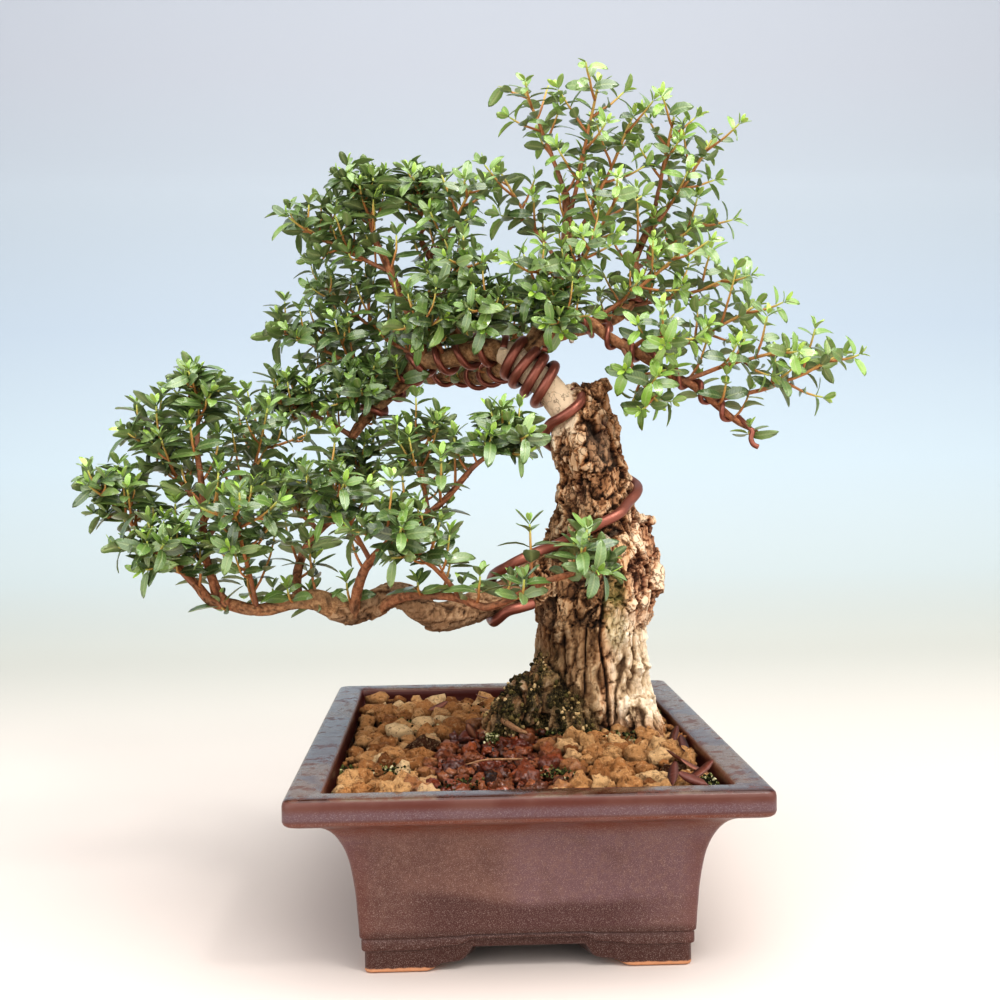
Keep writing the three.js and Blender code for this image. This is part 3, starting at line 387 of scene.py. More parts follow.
# the drain holes are drilled through the floor
for drain_y in (-DRAIN_Y, DRAIN_Y):
    drill_mesh = bpy.data.meshes.new("drill")
    drill_form = bmesh.new()
    bmesh.ops.create_cone(drill_form, cap_ends=True, segments=40, radius1=DRAIN_RADIUS * 0.001,
                          radius2=DRAIN_RADIUS * 0.001, depth=0.03,
                          matrix=Matrix.Translation((POT_MIDDLE[0] * 0.001, drain_y * 0.001, 0.010)))
    drill_form.to_mesh(drill_mesh)
    drill_form.free()
    drill = bpy.data.objects.new("drill", drill_mesh)
    bpy.context.scene.collection.objects.link(drill)
    cut = pot.modifiers.new("drain", "BOOLEAN")
    cut.operation = "DIFFERENCE"
    cut.object = drill
    settle(pot, cut)
    bpy.data.objects.remove(drill)
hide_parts("pot")

# Drain screens: two squares of black plastic mesh under the soil, cut from a sheet and laid over
# the holes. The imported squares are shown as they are, in matte moulded plastic.
plastic = Finish("black moulded plastic", Roughness=0.55)
plastic.lay("Base Color", plastic.mix(plastic.noise(400, 2), "17181a", "26272a"))
plastic.relief(plastic.noise(2500, 2), 0.05)
for name in ("drain_screen_front", "drain_screen_back"):
    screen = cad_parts[name]
    screen.data.materials.clear()
    screen.data.materials.append(plastic.material)

# Soil: fired clay granules, most of them 3 to 7 mm across, on a filling of the same. They were poured in
# and lie as they fell, up to the trunk. The middle of the front is wet, dark and finer.
SOIL_BOTTOM = 15.4
SOIL_EDGE = 55.5
SOIL_RISE = 4.5
SOIL_CORNER = np.array([61.5, 92.5])
TRUNK_FOOT = [30, 14]
TRUNK_CLEAR = 22
BED_DEPTH = 4.2
BED_RINGS = 74
FINEST = 0.9
COARSEST = 4.6
SEEN_CLOSE = 340
# rows as in the pot's walls
SOIL_WALL = [
    [27.2, 4, SOIL_BOTTOM], [26.3, 4, 20], [24.6, 4, 32], [22.2, 4, 40], [19.0, 3.5, 45], [15.2, 3, 50],
    [12.7, 2.4, 53.4], [12.3, 2.2, 54.4],
]
SOIL_RIM = [[12.2, 2.2, 55]]


def soil_top(x, y):
    """Height of the soil: level at the wall and heaped a little at the trunk."""
    return SOIL_EDGE + SOIL_RISE * np.exp(-((x - 22) ** 2 + (y - 10) ** 2) / 2400)


def strewn(cell, seed):
    """A number from 0 to 1 for each whole-number place, from its coordinates mixed by large primes."""
    x, y, z = np.moveaxis(cell, -1, 0)
    mixed = (x * 73856093) ^ (y * 19349663) ^ (z * 83492791) ^ (seed * 40503)
    mixed = ((mixed ^ (mixed >> 13)) * 1274126177) & 0xFFFFFFFF
    mixed = ((mixed ^ (mixed >> 15)) * 2246822519) & 0xFFFFFFFF
    return ((mixed >> 9) & 0xFFFF) / 65535.0


def cloud(points, seed, layers):
    """Smooth noise from -1 to 1: numbers strewn at whole places, eased between, in ever finer layers."""
    total = np.zeros(len(points))
    for layer in range(layers):
        cell = np.floor(points * 2 ** layer).astype(np.int64)
        part = points * 2 ** layer - cell
        eased = part * part * (3 - 2 * part)
        for corner in np.ndindex(2, 2, 2):
            share = np.prod(np.where(np.array(corner, bool), eased, 1 - eased), axis=1)
            total += share * (2 * strewn(cell + np.array(corner), seed + 31 * layer) - 1) * 0.5 ** layer
    return total / (2 - 0.5 ** (layers - 1))


def clouds(points, seed, layers):
    """Three such noises of their own side by side, as a shift along x, y and z."""
    return np.stack([cloud(points, seed + axis, layers) for axis in range(3)], 1)


def flakes(points, seed):
    """Pattern of flakes, one round each strewn point.

    It gives for every place how much further the second nearest strewn point is than the nearest, a number
    from 0 to 1 for the flake, and the height of the flake, which leans its own way from its middle.
    """
    cell = np.floor(points).astype(np.int64)
    nearest = np.full(len(points), 9.0)
    second = np.full(len(points), 9.0)
    home = cell
    for step in np.ndindex(3, 3, 3):
        there = cell + np.array(step) - 1
        spot = there + np.stack([strewn(there, seed + k) for k in range(3)], 1)
        away = np.linalg.norm(points - spot, axis=1)
        closer = away < nearest
        second = np.where(closer, nearest, np.minimum(second, away))
        home = np.where(closer[:, None], there, home)
        nearest = np.where(closer, away, nearest)
    spot = home + np.stack([strewn(home, seed + k) for k in range(3)], 1)
    tilt = np.stack([strewn(home, seed + 11 + k) for k in range(3)], 1) * 2 - 1
    return second - nearest, strewn(home, seed + 7), ((points - spot) * tilt).sum(1)


def ease(value, low, high):
    """0 up to low and 1 from high on, eased between."""
    share = np.clip((value - low) / (high - low), 0, 1)
    return share * share * (3 - 2 * share)


def unit(vectors):
    """Vectors divided by their lengths."""
    return vectors / np.linalg.norm(vectors, axis=-1, keepdims=True)


def ball(cuts):
    """Points and faces of a ball of radius 1 made of equal triangles."""
    form = bmesh.new()
    bmesh.ops.create_icosphere(form, subdivisions=cuts, radius=1.0)
    points = np.array([vertex.co[:] for vertex in form.verts])
    faces = np.array([[vertex.index for vertex in face.verts] for face in form.faces])
    form.free()
    return points, faces


def lumps(centres, radii, seed, cuts, dent):
    """Many uneven lumps as one mesh: each a stretched ball, cut flat by six planes and dented by noise."""
    points, faces = ball(cuts)
    draw = np.random.default_rng(seed)
    count = len(centres)
    shapes = points[None] * draw.uniform(0.72, 1.28, (count, 1, 3))
    for _ in range(6):
        plane = unit(draw.normal(size=(count, 3)))
        over = np.einsum("nij,nj->ni", shapes, plane) - draw.uniform(0.64, 1.04, (count, 1))
        shapes = shapes - np.maximum(over, 0)[..., None] * plane[:, None]
    spread = (shapes + 9.7 * np.arange(count)[:, None, None]).reshape(-1, 3)
    dents = cloud(spread * 1.7, seed, 2) + 0.8 * cloud(spread * 3.1, seed + 1, 2)
    shapes = shapes * (1 + dent * dents.reshape(count, -1, 1)) * radii[:, None, None] + centres[:, None, :]
    numbers = faces[None] + (np.arange(count) * len(points))[:, None, None]
    return shapes.reshape(-1, 3), numbers.reshape(-1, 3), len(points)


def wet_share(x, y):
    """How wet the soil is: dark left of the middle from the trunk to the front, with a wavering edge."""
    waver = cloud(np.stack([x / 12, y / 12, x * 0], 1), 5, 2)
    away = np.hypot((x + 9 - 0.06 * (y + 40)) / 30, (y + 42) / 62) + 0.24 * waver
    return 1 - ease(away, 0.74, 1.0)


def clay_soil():
    """Pitted fired clay: ochre when dry, dark red-brown and shiny when wet, in the shade of each granule,
    with painted shade and highlights.
    """
    soil = Finish("fired clay granules", Coat_Roughness=0.12, Coat_IOR=1.6, Specular_IOR_Level=0.2)
    shade = soil.mark("shade")
    wet = soil.mark("wet")
    dry = soil.ramp(shade, (0.0, "3f2210"), (0.12, "84522c"), (0.45, "b47c4a"), (0.8, "d4a470"),
                    (1.0, "e4c294"))
    damp = soil.ramp(shade, (0.0, "220702"), (0.5, "6a2208"), (1.0, "a4460f"))
    colour = soil.mix(wet, dry, damp)
    grain = soil.noise(900, 5, 0.7)
    pits = soil.noise(620, 5, 0.75)
    # painted highlights: pale flecks where the grain noise is high, red-brown on the wet granules, where
    # they stand in for glints
    colour = soil.mix(grain.fade(0.5, 0.75) * 0.5, colour, soil.mix(wet, "f2d0a2", "a05a34"))
    # painted shade: darker in the pits of the relief
    colour = soil.mix((1 - pits.fade(0.34, 0.5)) * 0.7, colour, soil.mix(wet, "4e280f", "140602"))
    # painted shade: the lower part of each granule, and the filling between them, are darkened by the mark
    # low
    colour = soil.mix(soil.mark("low") * 0.95, colour, soil.mix(wet, "2e170a", "100401"))
    soil.lay("Base Color", colour)
    soil.lay("Roughness", 0.9 - wet * 0.4 + grain * 0.1)
    soil.lay("Coat Weight", wet * pits.fade(0.42, 0.55) * 0.75)
    soil.relief(pits, 2.8)
    soil.relief(soil.noise(1500, 4, 0.7), 0.4)
    return soil


soil_finish = clay_soil()
anchors, outward = rim_stations(44, 64, 5)
side_wall = wall_rings(SOIL_WALL, anchors, outward)
edge_ring = wall_rings(SOIL_RIM, anchors, outward)
inward = np.linspace(1, 0.012, BED_RINGS)[:, None, None]
top = np.concatenate([edge_ring[..., :2] * inward, np.zeros((BED_RINGS, len(anchors), 1))], -1)
flat = top.reshape(-1, 3)
crumbs = 1.1 * cloud(flat / 4.0, 11, 3) + 0.5 * cloud(flat / 1.4, 12, 2)
top[..., 2] = soil_top(top[..., 0], top[..., 1]) - BED_DEPTH + crumbs.reshape(top.shape[:2])
bed_points, bed_quads, bed_threes = closed_rings(
    np.concatenate([side_wall, top]), [0, 0, SOIL_BOTTOM], [0, 0, soil_top(0, 0) - BED_DEPTH])
# painted shade: the filling, seen only in the gaps between the granules, is made nearly black by its low
# shade and half of the mark low
bed = piece("soil_bed", bed_points, [[bed_quads, bed_threes]], [soil_finish], "akadama_soil",
            shade=0.03 + 0.1 * cloud(bed_points / 3, 14, 2),
            wet=wet_share(bed_points[:, 0], bed_points[:, 1]), low=np.full(len(bed_points), 0.5))
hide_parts("soil")

draw = np.random.default_rng(77)
spots = draw.uniform(-SOIL_CORNER, SOIL_CORNER, (26000, 2))
sizes = np.exp(draw.normal(0.84, 0.38, len(spots))) * (1 - 0.44 * wet_share(spots[:, 0], spots[:, 1]))
sizes = np.clip(sizes, FINEST, COARSEST)
# the large ones are laid first, and each only where there is room for it
laid = np.zeros((0, 4))
for number in np.argsort(-sizes + draw.uniform(-0.9, 0.9, len(sizes))):
    x, y = spots[number]
    size = sizes[number]
    if np.hypot(x - TRUNK_FOOT[0], y - TRUNK_FOOT[1]) < TRUNK_CLEAR + size * 0.4:
        continue
    if max(abs(x) + size - 62.6, abs(y) + size - 93.6) > 0:
        continue
    if (np.hypot(laid[:, 0] - x, laid[:, 1] - y) < 0.86 * (laid[:, 3] + size)).any():
        continue
    laid = np.vstack([laid, [x, y, 0, size]])
laid[:, 2] = soil_top(laid[:, 0], laid[:, 1]) - 1.9 + 0.24 * laid[:, 3] + draw.uniform(-1.7, 2.3, len(laid))
laid = laid[np.argsort(laid[:, 1])]
shade = np.clip(draw.normal(0.55, 0.25, len(laid)), 0, 1)
wetness = wet_share(laid[:, 0], laid[:, 1]) * draw.uniform(0.75, 1.0, len(laid))
coarse = np.column_stack([laid, shade, wetness])
# fines that trickled down between them
fines = draw.uniform(-SOIL_CORNER, SOIL_CORNER, (520, 2))
fines = fines[np.hypot(fines[:, 0] - TRUNK_FOOT[0], fines[:, 1] - TRUNK_FOOT[1]) > TRUNK_CLEAR]
size = draw.uniform(0.7, 1.5, len(fines))
height = soil_top(fines[:, 0], fines[:, 1]) - draw.uniform(0.2, 2.4, len(fines))
shade = np.clip(draw.normal(0.4, 0.25, len(fines)), 0, 1)
fines = np.column_stack([fines, height, size, shade, wet_share(fines[:, 0], fines[:, 1])])
# the granules of the front are shaped finer, since they are seen close by
nearest = np.argsort(laid[:, 1] + 200 * (laid[:, 3] < 1.3))[:SEEN_CLOSE]
close = np.isin(np.arange(len(laid)), nearest)
granule_points, granule_faces, columns, start = [], [], [], 0
lots = [(coarse[close], 1.02, 21, 3, 0.5), (coarse[~close], 1.02, 22, 2, 0.38), (fines, 1.0, 23, 2, 0.3)]
for grains, swell, seed, cuts, dent in lots:
    points, faces, each = lumps(grains[:, :3], grains[:, 3] * swell, seed, cuts, dent)
    granule_points.append(points)
    granule_faces.append(faces + start)
    columns.append(np.repeat(grains[:, 2:], each, 0))
    start += len(points)
granule_points = np.concatenate(granule_points)
height, size, shade, wet = np.concatenate(columns).T
# painted shade: each granule is darker where it sinks between its neighbours
low = np.clip((height + 0.32 * size - granule_points[:, 2]) / (0.75 * size), 0, 1)
granules = piece("soil_granules", granule_points, [granule_faces], [soil_finish], "akadama_soil",
                 shade=shade, wet=wet, low=low)
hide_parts("soil")

# Wood: the old trunk with its flaking bark, the surface root at its left, the dead slab at its right
# and the broken top, the bent pale neck and the thick start of the low limb. It grew in one piece
# with every limb, and stands in the soil on its roots.
TRUNK_SIDES = 96
TRUNK_GRAIN = 0.00066
# rows up the trunk: height, middle along x and y, radius
TRUNK = [
    [24, 31, 14, 12], [46, 31, 14, 19], [55, 30, 14, 24.5], [61, 29.5, 14, 25.5], [68, 30, 14, 23.6],
    [78, 31, 14, 22.2], [90, 31.5, 14, 21.6], [102, 31.5, 14, 21.8], [113, 33, 14, 21.6], [121, 34, 14, 21],
    [129, 33.6, 14, 19.4], [137, 33, 13.6, 17], [146, 33.4, 13, 14.2], [154, 33.6, 13, 12.6],
    [163, 31.6, 13, 13], [172, 29.4, 14, 13], [179, 29, 14, 11.6], [184, 30, 14, 9.2], [189, 31, 14, 7.2],
    [192, 32, 14, 4.6],
]
# points along the middle of each limb: x, y, z, radius
LIMBS = {
    "neck": [[27, 12.4, 170, 7.6], [23, 11, 180, 6.6], [19, 10, 186, 6.0], [14, 9, 192, 5.7],
             [8, 9, 197, 5.7], [3, 10, 202, 5.4], [-2, 12, 205, 4.6]],
    "leader": [[4, 9, 200, 4.4], [12, 14, 211, 3.9], [19, 20, 226, 3.5], [24, 24, 241, 3.0],
               [25, 24, 256, 2.2], [24, 22, 268, 1.5]],
    "leftLimb": [[2, 11, 203, 4.8], [-7, 14, 206, 4.4], [-15, 18, 205, 4.2], [-24, 22, 203, 3.9],
                 [-34, 26, 202, 3.6], [-40, 30, 196, 3.3], [-49, 32, 188, 2.9], [-57, 32, 180, 2.4],
                 [-62, 30, 173, 1.8]],
    "backLimb": [[2, 10, 200, 4.2], [-4, 28, 198, 3.6], [-11, 44, 197, 3.2], [-20, 58, 199, 2.7],
                 [-31, 70, 198, 1.8]],
    "rightLimb": [[6, 10, 201, 3.2], [18, 6, 211, 2.5], [29, 2, 215, 2.3], [39, 0, 208, 2.1],
                  [50, 0, 202, 2.0], [60, 0, 195, 1.8], [70, 0, 190, 1.6], [78, -2, 183, 1.4],
                  [86, -4, 176, 1.1], [93, -6, 172, 0.7]],
    "riser": [[10, 10, 206, 2.6], [18, 9, 210, 2.4], [32, 14, 214, 2.3], [43, 20, 218, 2.2],
              [50, 24, 225, 2.1], [53, 26, 232, 2.0], [52, 28, 242, 1.8], [57, 30, 253, 1.5],
              [61, 32, 263, 1.2]],
    "leftRiser": [[-33, 25, 202, 2.4], [-35, 23, 213, 2.2], [-38, 22, 221, 2.0], [-42, 20, 229, 1.8],
                  [-47, 18, 241, 1.5], [-51, 18, 249, 1.2]],
    "midRiser": [[-14, 17, 205, 2.2], [-21, 21, 214, 2.0], [-27, 24, 227, 1.8], [-28, 26, 239, 1.5],
                 [-33, 28, 250, 1.2]],
    "low": [[26, 14, 118, 13], [16, 8, 117, 11.4], [8, 3, 115, 9], [-1, -2, 112, 6.8], [-11, -6, 109.5, 6.0],
            [-19, -10, 106.5, 5.7], [-28, -12, 105, 5.6], [-34, -14, 108, 5.2], [-39, -15, 112.5, 5.0],
            [-45, -15, 113.5, 4.8], [-52, -16, 110.5, 4.8], [-60, -18, 107.5, 4.8], [-66, -20, 110, 4.5],
            [-72, -22, 113, 4.0], [-80, -22, 112.5, 3.0], [-89, -22, 110, 2.4], [-96, -22, 110, 2.3],
            [-103, -22, 112, 2.2], [-109, -23, 113, 2.0], [-114, -25, 119, 1.7], [-119, -27, 125, 1.5],
            [-126, -30, 131, 1.2]],
    "lowTall": [[-102, -22, 111, 1.9], [-107, -24, 117, 1.7], [-111, -25, 132, 1.5], [-111, -26, 150, 1.3],
                [-113, -26, 168, 1.0]],
    "lowFront": [[-50, -16, 108, 2.2], [-43, -24, 113, 1.9], [-35, -32, 115, 1.7], [-22, -42, 115, 1.5],
                 [-11, -47, 112, 1.4], [-1, -52, 116, 1.3], [8, -56, 121, 1.2], [18, -58, 124, 1.0]],
    "lowEast": [[-59, -19, 106, 2.2], [-56, -28, 119, 1.8], [-51, -34, 128, 1.6], [-41, -38, 137, 1.4],
                [-27, -40, 147, 1.2], [-16, -40, 159, 1.0]],
    "lowBack": [[-78, -22, 112, 2.0], [-80, -12, 120, 1.8], [-78, 0, 130, 1.6], [-72, 14, 138, 1.3],
                [-64, 28, 144, 1.0]],
}
LOW_IN_TRUNK = 13
# the surface root, a root behind, a root in front, the dead slab and two splinters of the broken top
STUMPS = [
    [[26, 9, 84, 12], [16, 5, 76.5, 11.4], [6, 2, 69.5, 10.6], [-3, 0, 62.5, 9], [-9, -2, 56, 6]],
    [[40, 32, 68, 8], [47, 42, 61, 6], [52, 49, 54, 4]],
    [[44, -2, 68, 8.4], [49, -9, 61, 6.4], [53, -15, 54, 4]],
    [[45, 11, 100, 7], [51, 11, 112, 7.4], [53, 12, 125, 4.8], [52.4, 12, 133, 3.6], [53, 12, 139.5, 2.2]],
    [[25, 15, 179, 5], [24, 16, 187, 3.4], [24, 16.5, 192, 1.8]],
    [[34, 13, 180, 5.4], [35.4, 12, 188, 4.2], [35.6, 11.4, 193, 2.8]],
]
# the long crack down the front: x at a height
FISSURE = np.array([[36, 60], [35.2, 71], [34.8, 80], [33.1, 89], [32.1, 96], [32.9, 103], [35.2, 116],
                    [35.3, 125]])


def trunk_relief(angle, height):
    """Swellings round the trunk: a factor on the radius for an angle and a height."""
    flare = np.exp(-((height - 60) / 12) ** 2)
    lobes = 0.10 * flare * np.sin(3 * angle + 2.1)
    ridges = 0.040 * np.sin(4 * angle + 0.05 * height) + 0.026 * np.sin(7 * angle - 0.07 * height + 1.3)
    knots = 0.030 * np.sin(2 * angle + 0.11 * height) * np.sin(0.16 * height)
    return 1 + (lobes + ridges + knots) * np.clip((height - 50) / 8, 0, 1)


def lengths(curve):
    """Distance along a curve to each of its points."""
    return np.concatenate([[0], np.cumsum(np.linalg.norm(np.diff(curve[:, :3], axis=0), axis=1))])


def at_length(rows, along, wanted):
    """Rows that belong to the points of a curve, read off between them at the wanted lengths."""
    return np.stack([np.interp(wanted, along, column) for column in rows.T], -1)


def frames(curve):
    """Heading, side and up at every point of a curve, carried along it without twist."""
    steps = np.vstack([curve[1:2] - curve[:1], curve[2:] - curve[:-2], curve[-1:] - curve[-2:-1]])
    heading = unit(steps[:, :3])
    side = np.cross(heading[0], [0, 0, 1] if abs(heading[0, 2]) < 0.9 else [1, 0, 0])
    sides = []
    for direction in heading:
        side = side - direction * (side @ direction)
        side = side / np.linalg.norm(side)
        sides.append(side)
    sides = np.array(sides)
    return heading, sides, np.cross(heading, sides)


def tube(curve, sides, grow=None, bulge=0.4):
    """Closed round tube along a curve of x, y, z and radius.

    grow is a factor on the radius for each point, and bulge is how far the ends stand out, in radii.
    """
    heading, side, up = frames(curve)
    angle = 2 * np.pi * np.arange(sides) / sides
    across = side[:, None] * np.cos(angle)[None, :, None] + up[:, None] * np.sin(angle)[None, :, None]
    radius = curve[:, 3:4, None] * (1 if grow is None else grow[..., None])
    return closed_rings(curve[:, None, :3] + across * radius,
                        curve[0, :3] - heading[0] * curve[0, 3] * bulge,
                        curve[-1, :3] + heading[-1] * curve[-1, 3] * bulge)


def gather(parts):
    """One set of points, four-sided faces and three-sided faces from several."""
    points, quads, threes, start = [], [], [], 0
    for part_points, part_quads, part_threes in parts:
        points.append(part_points)
        quads.append(part_quads + start)
        threes.append(part_threes + start)
        start += len(part_points)
    return np.concatenate(points), np.concatenate(quads), np.concatenate(threes)


def read_rows(vectors, key):
    """Places or normals of a mesh as rows."""
    values = np.zeros(len(vectors) * 3, np.float32)
    vectors.foreach_get(key, values)
    return values.reshape(-1, 3).astype(float)


def old_bark():
    """Flaking bark: cream and tan plates over dark clefts, mossy at the foot, red-brown on the dead slab,
    with painted shade.
    """
    bark = Finish("flaking old bark", Roughness=0.88, Specular_IOR_Level=0.25)
    deep = bark.mark("deep")
    plate = bark.mark("plate")
    patch = bark.noise(60, 4, 0.6)
    grain = bark.noise(560, 6, 0.75, bark.stretch(1, 1, 0.22))
    tone = deep + (grain - 0.5) * 0.35
    # the cracks waver, since their pattern is read at places shifted by a noise
    shift = bark.vector("MULTIPLY", bark.noise(190, 4, out="Color"), (0.011, 0.011, 0.011))
    crack = bark.cracks(260, bark.vector("ADD", bark.stretch(1, 1, 0.45), shift))
    crack = (1 - crack.fade(0.0, 0.08)) * bark.mark("rough")
    hair = bark.cracks(150, bark.vector("ADD", bark.stretch(1, 1, 0.5), shift))
    hair = (1 - (hair + grain * 0.03).fade(0.012, 0.045)) * bark.mark("neck") * patch.fade(0.46, 0.6)
    colour = bark.ramp(tone, (0.0, "100603"), (0.2, "2b160a"), (0.38, "64402a"), (0.56, "a0734e"),
                       (0.76, "d8b08a"), (0.95, "f6e6c8"))
    tan = bark.ramp(tone, (0.2, "35200f"), (0.5, "8a5a34"), (0.9, "b98657"))
    colour = bark.mix(plate.fade(0.5, 0.9) * 0.5, colour, tan)
    colour = bark.mix((1 - plate.fade(0.1, 0.45)) * 0.3, colour, "8f7f6c")
    colour = bark.mix(patch.fade(0.5, 0.66) * 0.4, colour, "8c6240")
    colour = bark.mix(grain.fade(0.58, 0.75) * deep * 0.55, colour, "f0e2c6")
    # each part of the tree has its own run of shades from cleft to crest; the pale run on the right of the
    # lower trunk is painted light, where the light falls on it
    pale = bark.ramp(tone, (0.2, "7d6248"), (0.45, "d2b894"), (0.8, "f6e8d0"))
    colour = bark.mix(bark.mark("pale") * (0.6 + patch * 0.4), colour, pale)
    neck = bark.ramp(tone, (0.3, "8a6a4e"), (0.6, "c9a888"), (0.85, "e2caac"))
    colour = bark.mix(bark.mark("neck"), colour, neck)
    # painted shade: the left side of the trunk, which lies in the shade, is darker and browner, less so
    # higher up
    brown = bark.ramp(tone, (0.05, "170c06"), (0.3, "3b2817"), (0.55, "60462d"), (0.9, "9c805e"))
    colour = bark.mix(bark.mark("brown") * 0.85, colour, brown)
    dead = bark.ramp(tone, (0.1, "4a271b"), (0.35, "8a5a42"), (0.6, "c29675"), (0.9, "ecd0b2"))
    colour = bark.mix(bark.mark("dead") * (0.45 + grain * 0.45), colour, dead)
    low = bark.ramp(tone, (0.1, "2a1e14"), (0.4, "6e5842"), (0.65, "9c8468"), (0.95, "cbb494"))
    colour = bark.mix(bark.mark("low") * 0.55, colour, low)
    hollow = bark.ramp(grain, (0.35, "1a0a07"), (0.6, "4a2219"), (0.75, "7a4636"))
    colour = bark.mix(bark.mark("hollow"), colour, hollow)
    # painted shade: the fine cracks of the bump are drawn dark
    colour = bark.mix(crack * 0.6, colour, "2b180b")
    colour = bark.mix(hair * 0.75, colour, "4a3020")
    colour = bark.mix((1 - grain.fade(0.26, 0.42)) * 0.6, colour, "3a2718")
    colour = bark.mix(bark.mark("algae") * patch.fade(0.35, 0.6) * 0.6, colour, "86824a")
    fuzz = bark.noise(1300, 4, 0.7)
    mossy = bark.ramp(fuzz + (patch - 0.5) * 0.3, (0.3, "130d07"), (0.46, "2b2412"), (0.56, "54492a"),
                      (0.64, "8a7048"), (0.78, "c0a070"))
    colour = bark.mix(bark.mark("moss"), colour, mossy)
    bark.lay("Base Color", colour)
    bark.relief(1 - crack, 0.5)
    bark.relief(grain, 0.8)
    bark.relief(bark.noise(2200, 4, 0.7), 0.18)
    return bark


# the trunk stands in level rings, swollen where its relief is; roots and limbs grow out of it
rows = smooth(TRUNK, 6)
angle = 2 * np.pi * np.arange(TRUNK_SIDES) / TRUNK_SIDES
reach = rows[:, 3:4] * trunk_relief(angle[None], rows[:, :1])
level = np.stack([rows[:, 1:2] + reach * np.cos(angle), rows[:, 2:3] + reach * np.sin(angle),
                  np.broadcast_to(rows[:, :1], reach.shape)], -1)
trunk_tube = tube(rows[:, [1, 2, 0, 3]], TRUNK_SIDES)
trunk_tube[0][:-2] = level.reshape(-1, 3)
parts = [trunk_tube] + [tube(smooth(stump, 5), 20) for stump in STUMPS]
parts += [tube(smooth(LIMBS["low"][:LOW_IN_TRUNK], 6), 28), tube(smooth(LIMBS["neck"], 6), 28)]
rough_points, rough_quads, rough_threes = gather(parts)
trunk = piece("trunk_bark", rough_points, [[rough_quads, rough_threes]], [old_bark()], "myrtle_bark")
join = trunk.modifiers.new("join", "REMESH")
join.mode = "VOXEL"
join.voxel_size = TRUNK_GRAIN
join.use_smooth_shade = True
settle(trunk, join)
mesh = trunk.data
spots = read_rows(mesh.vertices, "co") * 1000 - POT_MIDDLE
facing = read_rows(mesh.vertex_normals, "vector")
x, y, z = spots.T
bend = clouds(spots / 8, 40, 2)
warp = clouds(spots / 2.6, 70, 3)
jagged = 0.4 * bend + 0.16 * warp
# which part of the tree a place belongs to
on_low = ease(-x, -13, -3) * ease(z, 92, 97) * (1 - ease(z, 126, 132))
on_neck = (1 - ease(x, 23.5, 27)) * ease(z, 168, 178)
on_neck = np.maximum(on_neck, (1 - ease(x, 14, 20)) * ease(z, 150, 160))
lower = 1 - ease(z + 6 * bend[:, 0], 92, 106)
dead = ease(x, 43, 47) * ease(z, 95, 101)
rough = (1 - 0.72 * on_low) * (1 - 0.93 * on_neck)
beside = x + 0.55 * (z - 58)
# plates of bark and smaller flakes on them, upright on the trunk and lengthwise on the low limb
plate_up = flakes(spots / [7.4, 7.4, 12.5] + jagged, 3)
plate_side = flakes(spots / [12, 5.5, 5.5] + jagged, 4)
gap, number, lean = (np.where(on_low > 0.5, side, up) for side, up in zip(plate_side, plate_up))
small_size = np.where(on_low[:, None] > 0.5, [5.6, 2.4, 2.4], [3.3, 3.3, 6.6])
small_gap, small_number, small_lean = flakes(spots / small_size + 1.5 * jagged, 5)
crack = 1 - ease(gap, 0.0, 0.09)
small_crack = 1 - ease(small_gap, 0.0, 0.1)
height = 2.2 * (number - 0.5) + 2.8 * lean - 1.5 * crack
height += 0.9 * (small_number - 0.5) + 1.3 * small_lean - 0.4 * small_crack
height = height * (1 - 0.6 * lower) + 0.28 * cloud(spots / 1.3, 7, 2)
# long ridges with valleys, strands and knots at the foot
ridge = cloud(np.stack([x / 6.0, y / 6.0, z / 46], 1) + 0.26 * bend, 6, 2)
crest = np.sqrt(np.abs(ridge))
valley = np.exp(-(ridge / 0.06) ** 2)
strand = np.sqrt(np.abs(cloud(np.stack([x / 2.7, y / 2.7, z / 20], 1) + 0.5 * bend, 16, 2)))
knot = ease(cloud(spots / [4.2, 4.2, 5.5], 17, 1), 0.42, 0.75) * ease(beside, 26, 37)
height += lower * (2.6 * crest - 1.3 - 1.1 * valley + 0.8 * cloud(spots / [1.3, 1.3, 6], 13, 2))
height += lower * (1.5 * strand - 0.8 + 1.3 * knot)
height += dead * 1.3 * cloud(spots / [2.2, 2.2, 5], 8, 3)
# the long crack down the front and two hollows, one below the broken top
fissure = np.exp(-((x - np.interp(z, FISSURE[:, 1], FISSURE[:, 0])) / 0.55) ** 2)
fissure *= ease(-facing[:, 1], 0.2, 0.6) * (1 - ease(z, 120, 130))
hollow = np.exp(-((x - 37) / 3.2) ** 2 - ((z - 175) / 4.6) ** 2) * ease(-facing[:, 1], 0.0, 0.4)
hollow += 0.7 * np.exp(-((x - 26) / 2.2) ** 2 - ((z - 150) / 3.4) ** 2) * ease(-facing[:, 1], 0.0, 0.4)
hollow = np.clip(hollow * (0.75 + 1.1 * warp[:, 0]), 0, 1)
height = np.clip(height * rough - 2.0 * fissure - 3.0 * hollow, -4.8, 2.1)
# moss thickens the root
edge = bend[:, 1] * 5 + warp[:, 2] * 4
moss = (1 - ease(z + edge, 84, 97)) * (1 - ease(beside + edge, 26, 37)) * (1 - ease(y, 16, 26))
moss = moss * (0.5 + 0.5 * ease(cloud(spots / [3.4, 3.4, 6], 18, 2), -0.35, 0.1))
height += moss * 1.2 * cloud(spots / 1.7, 19, 2)
moved = spots + facing * height[:, None]
put_points(mesh, moved)
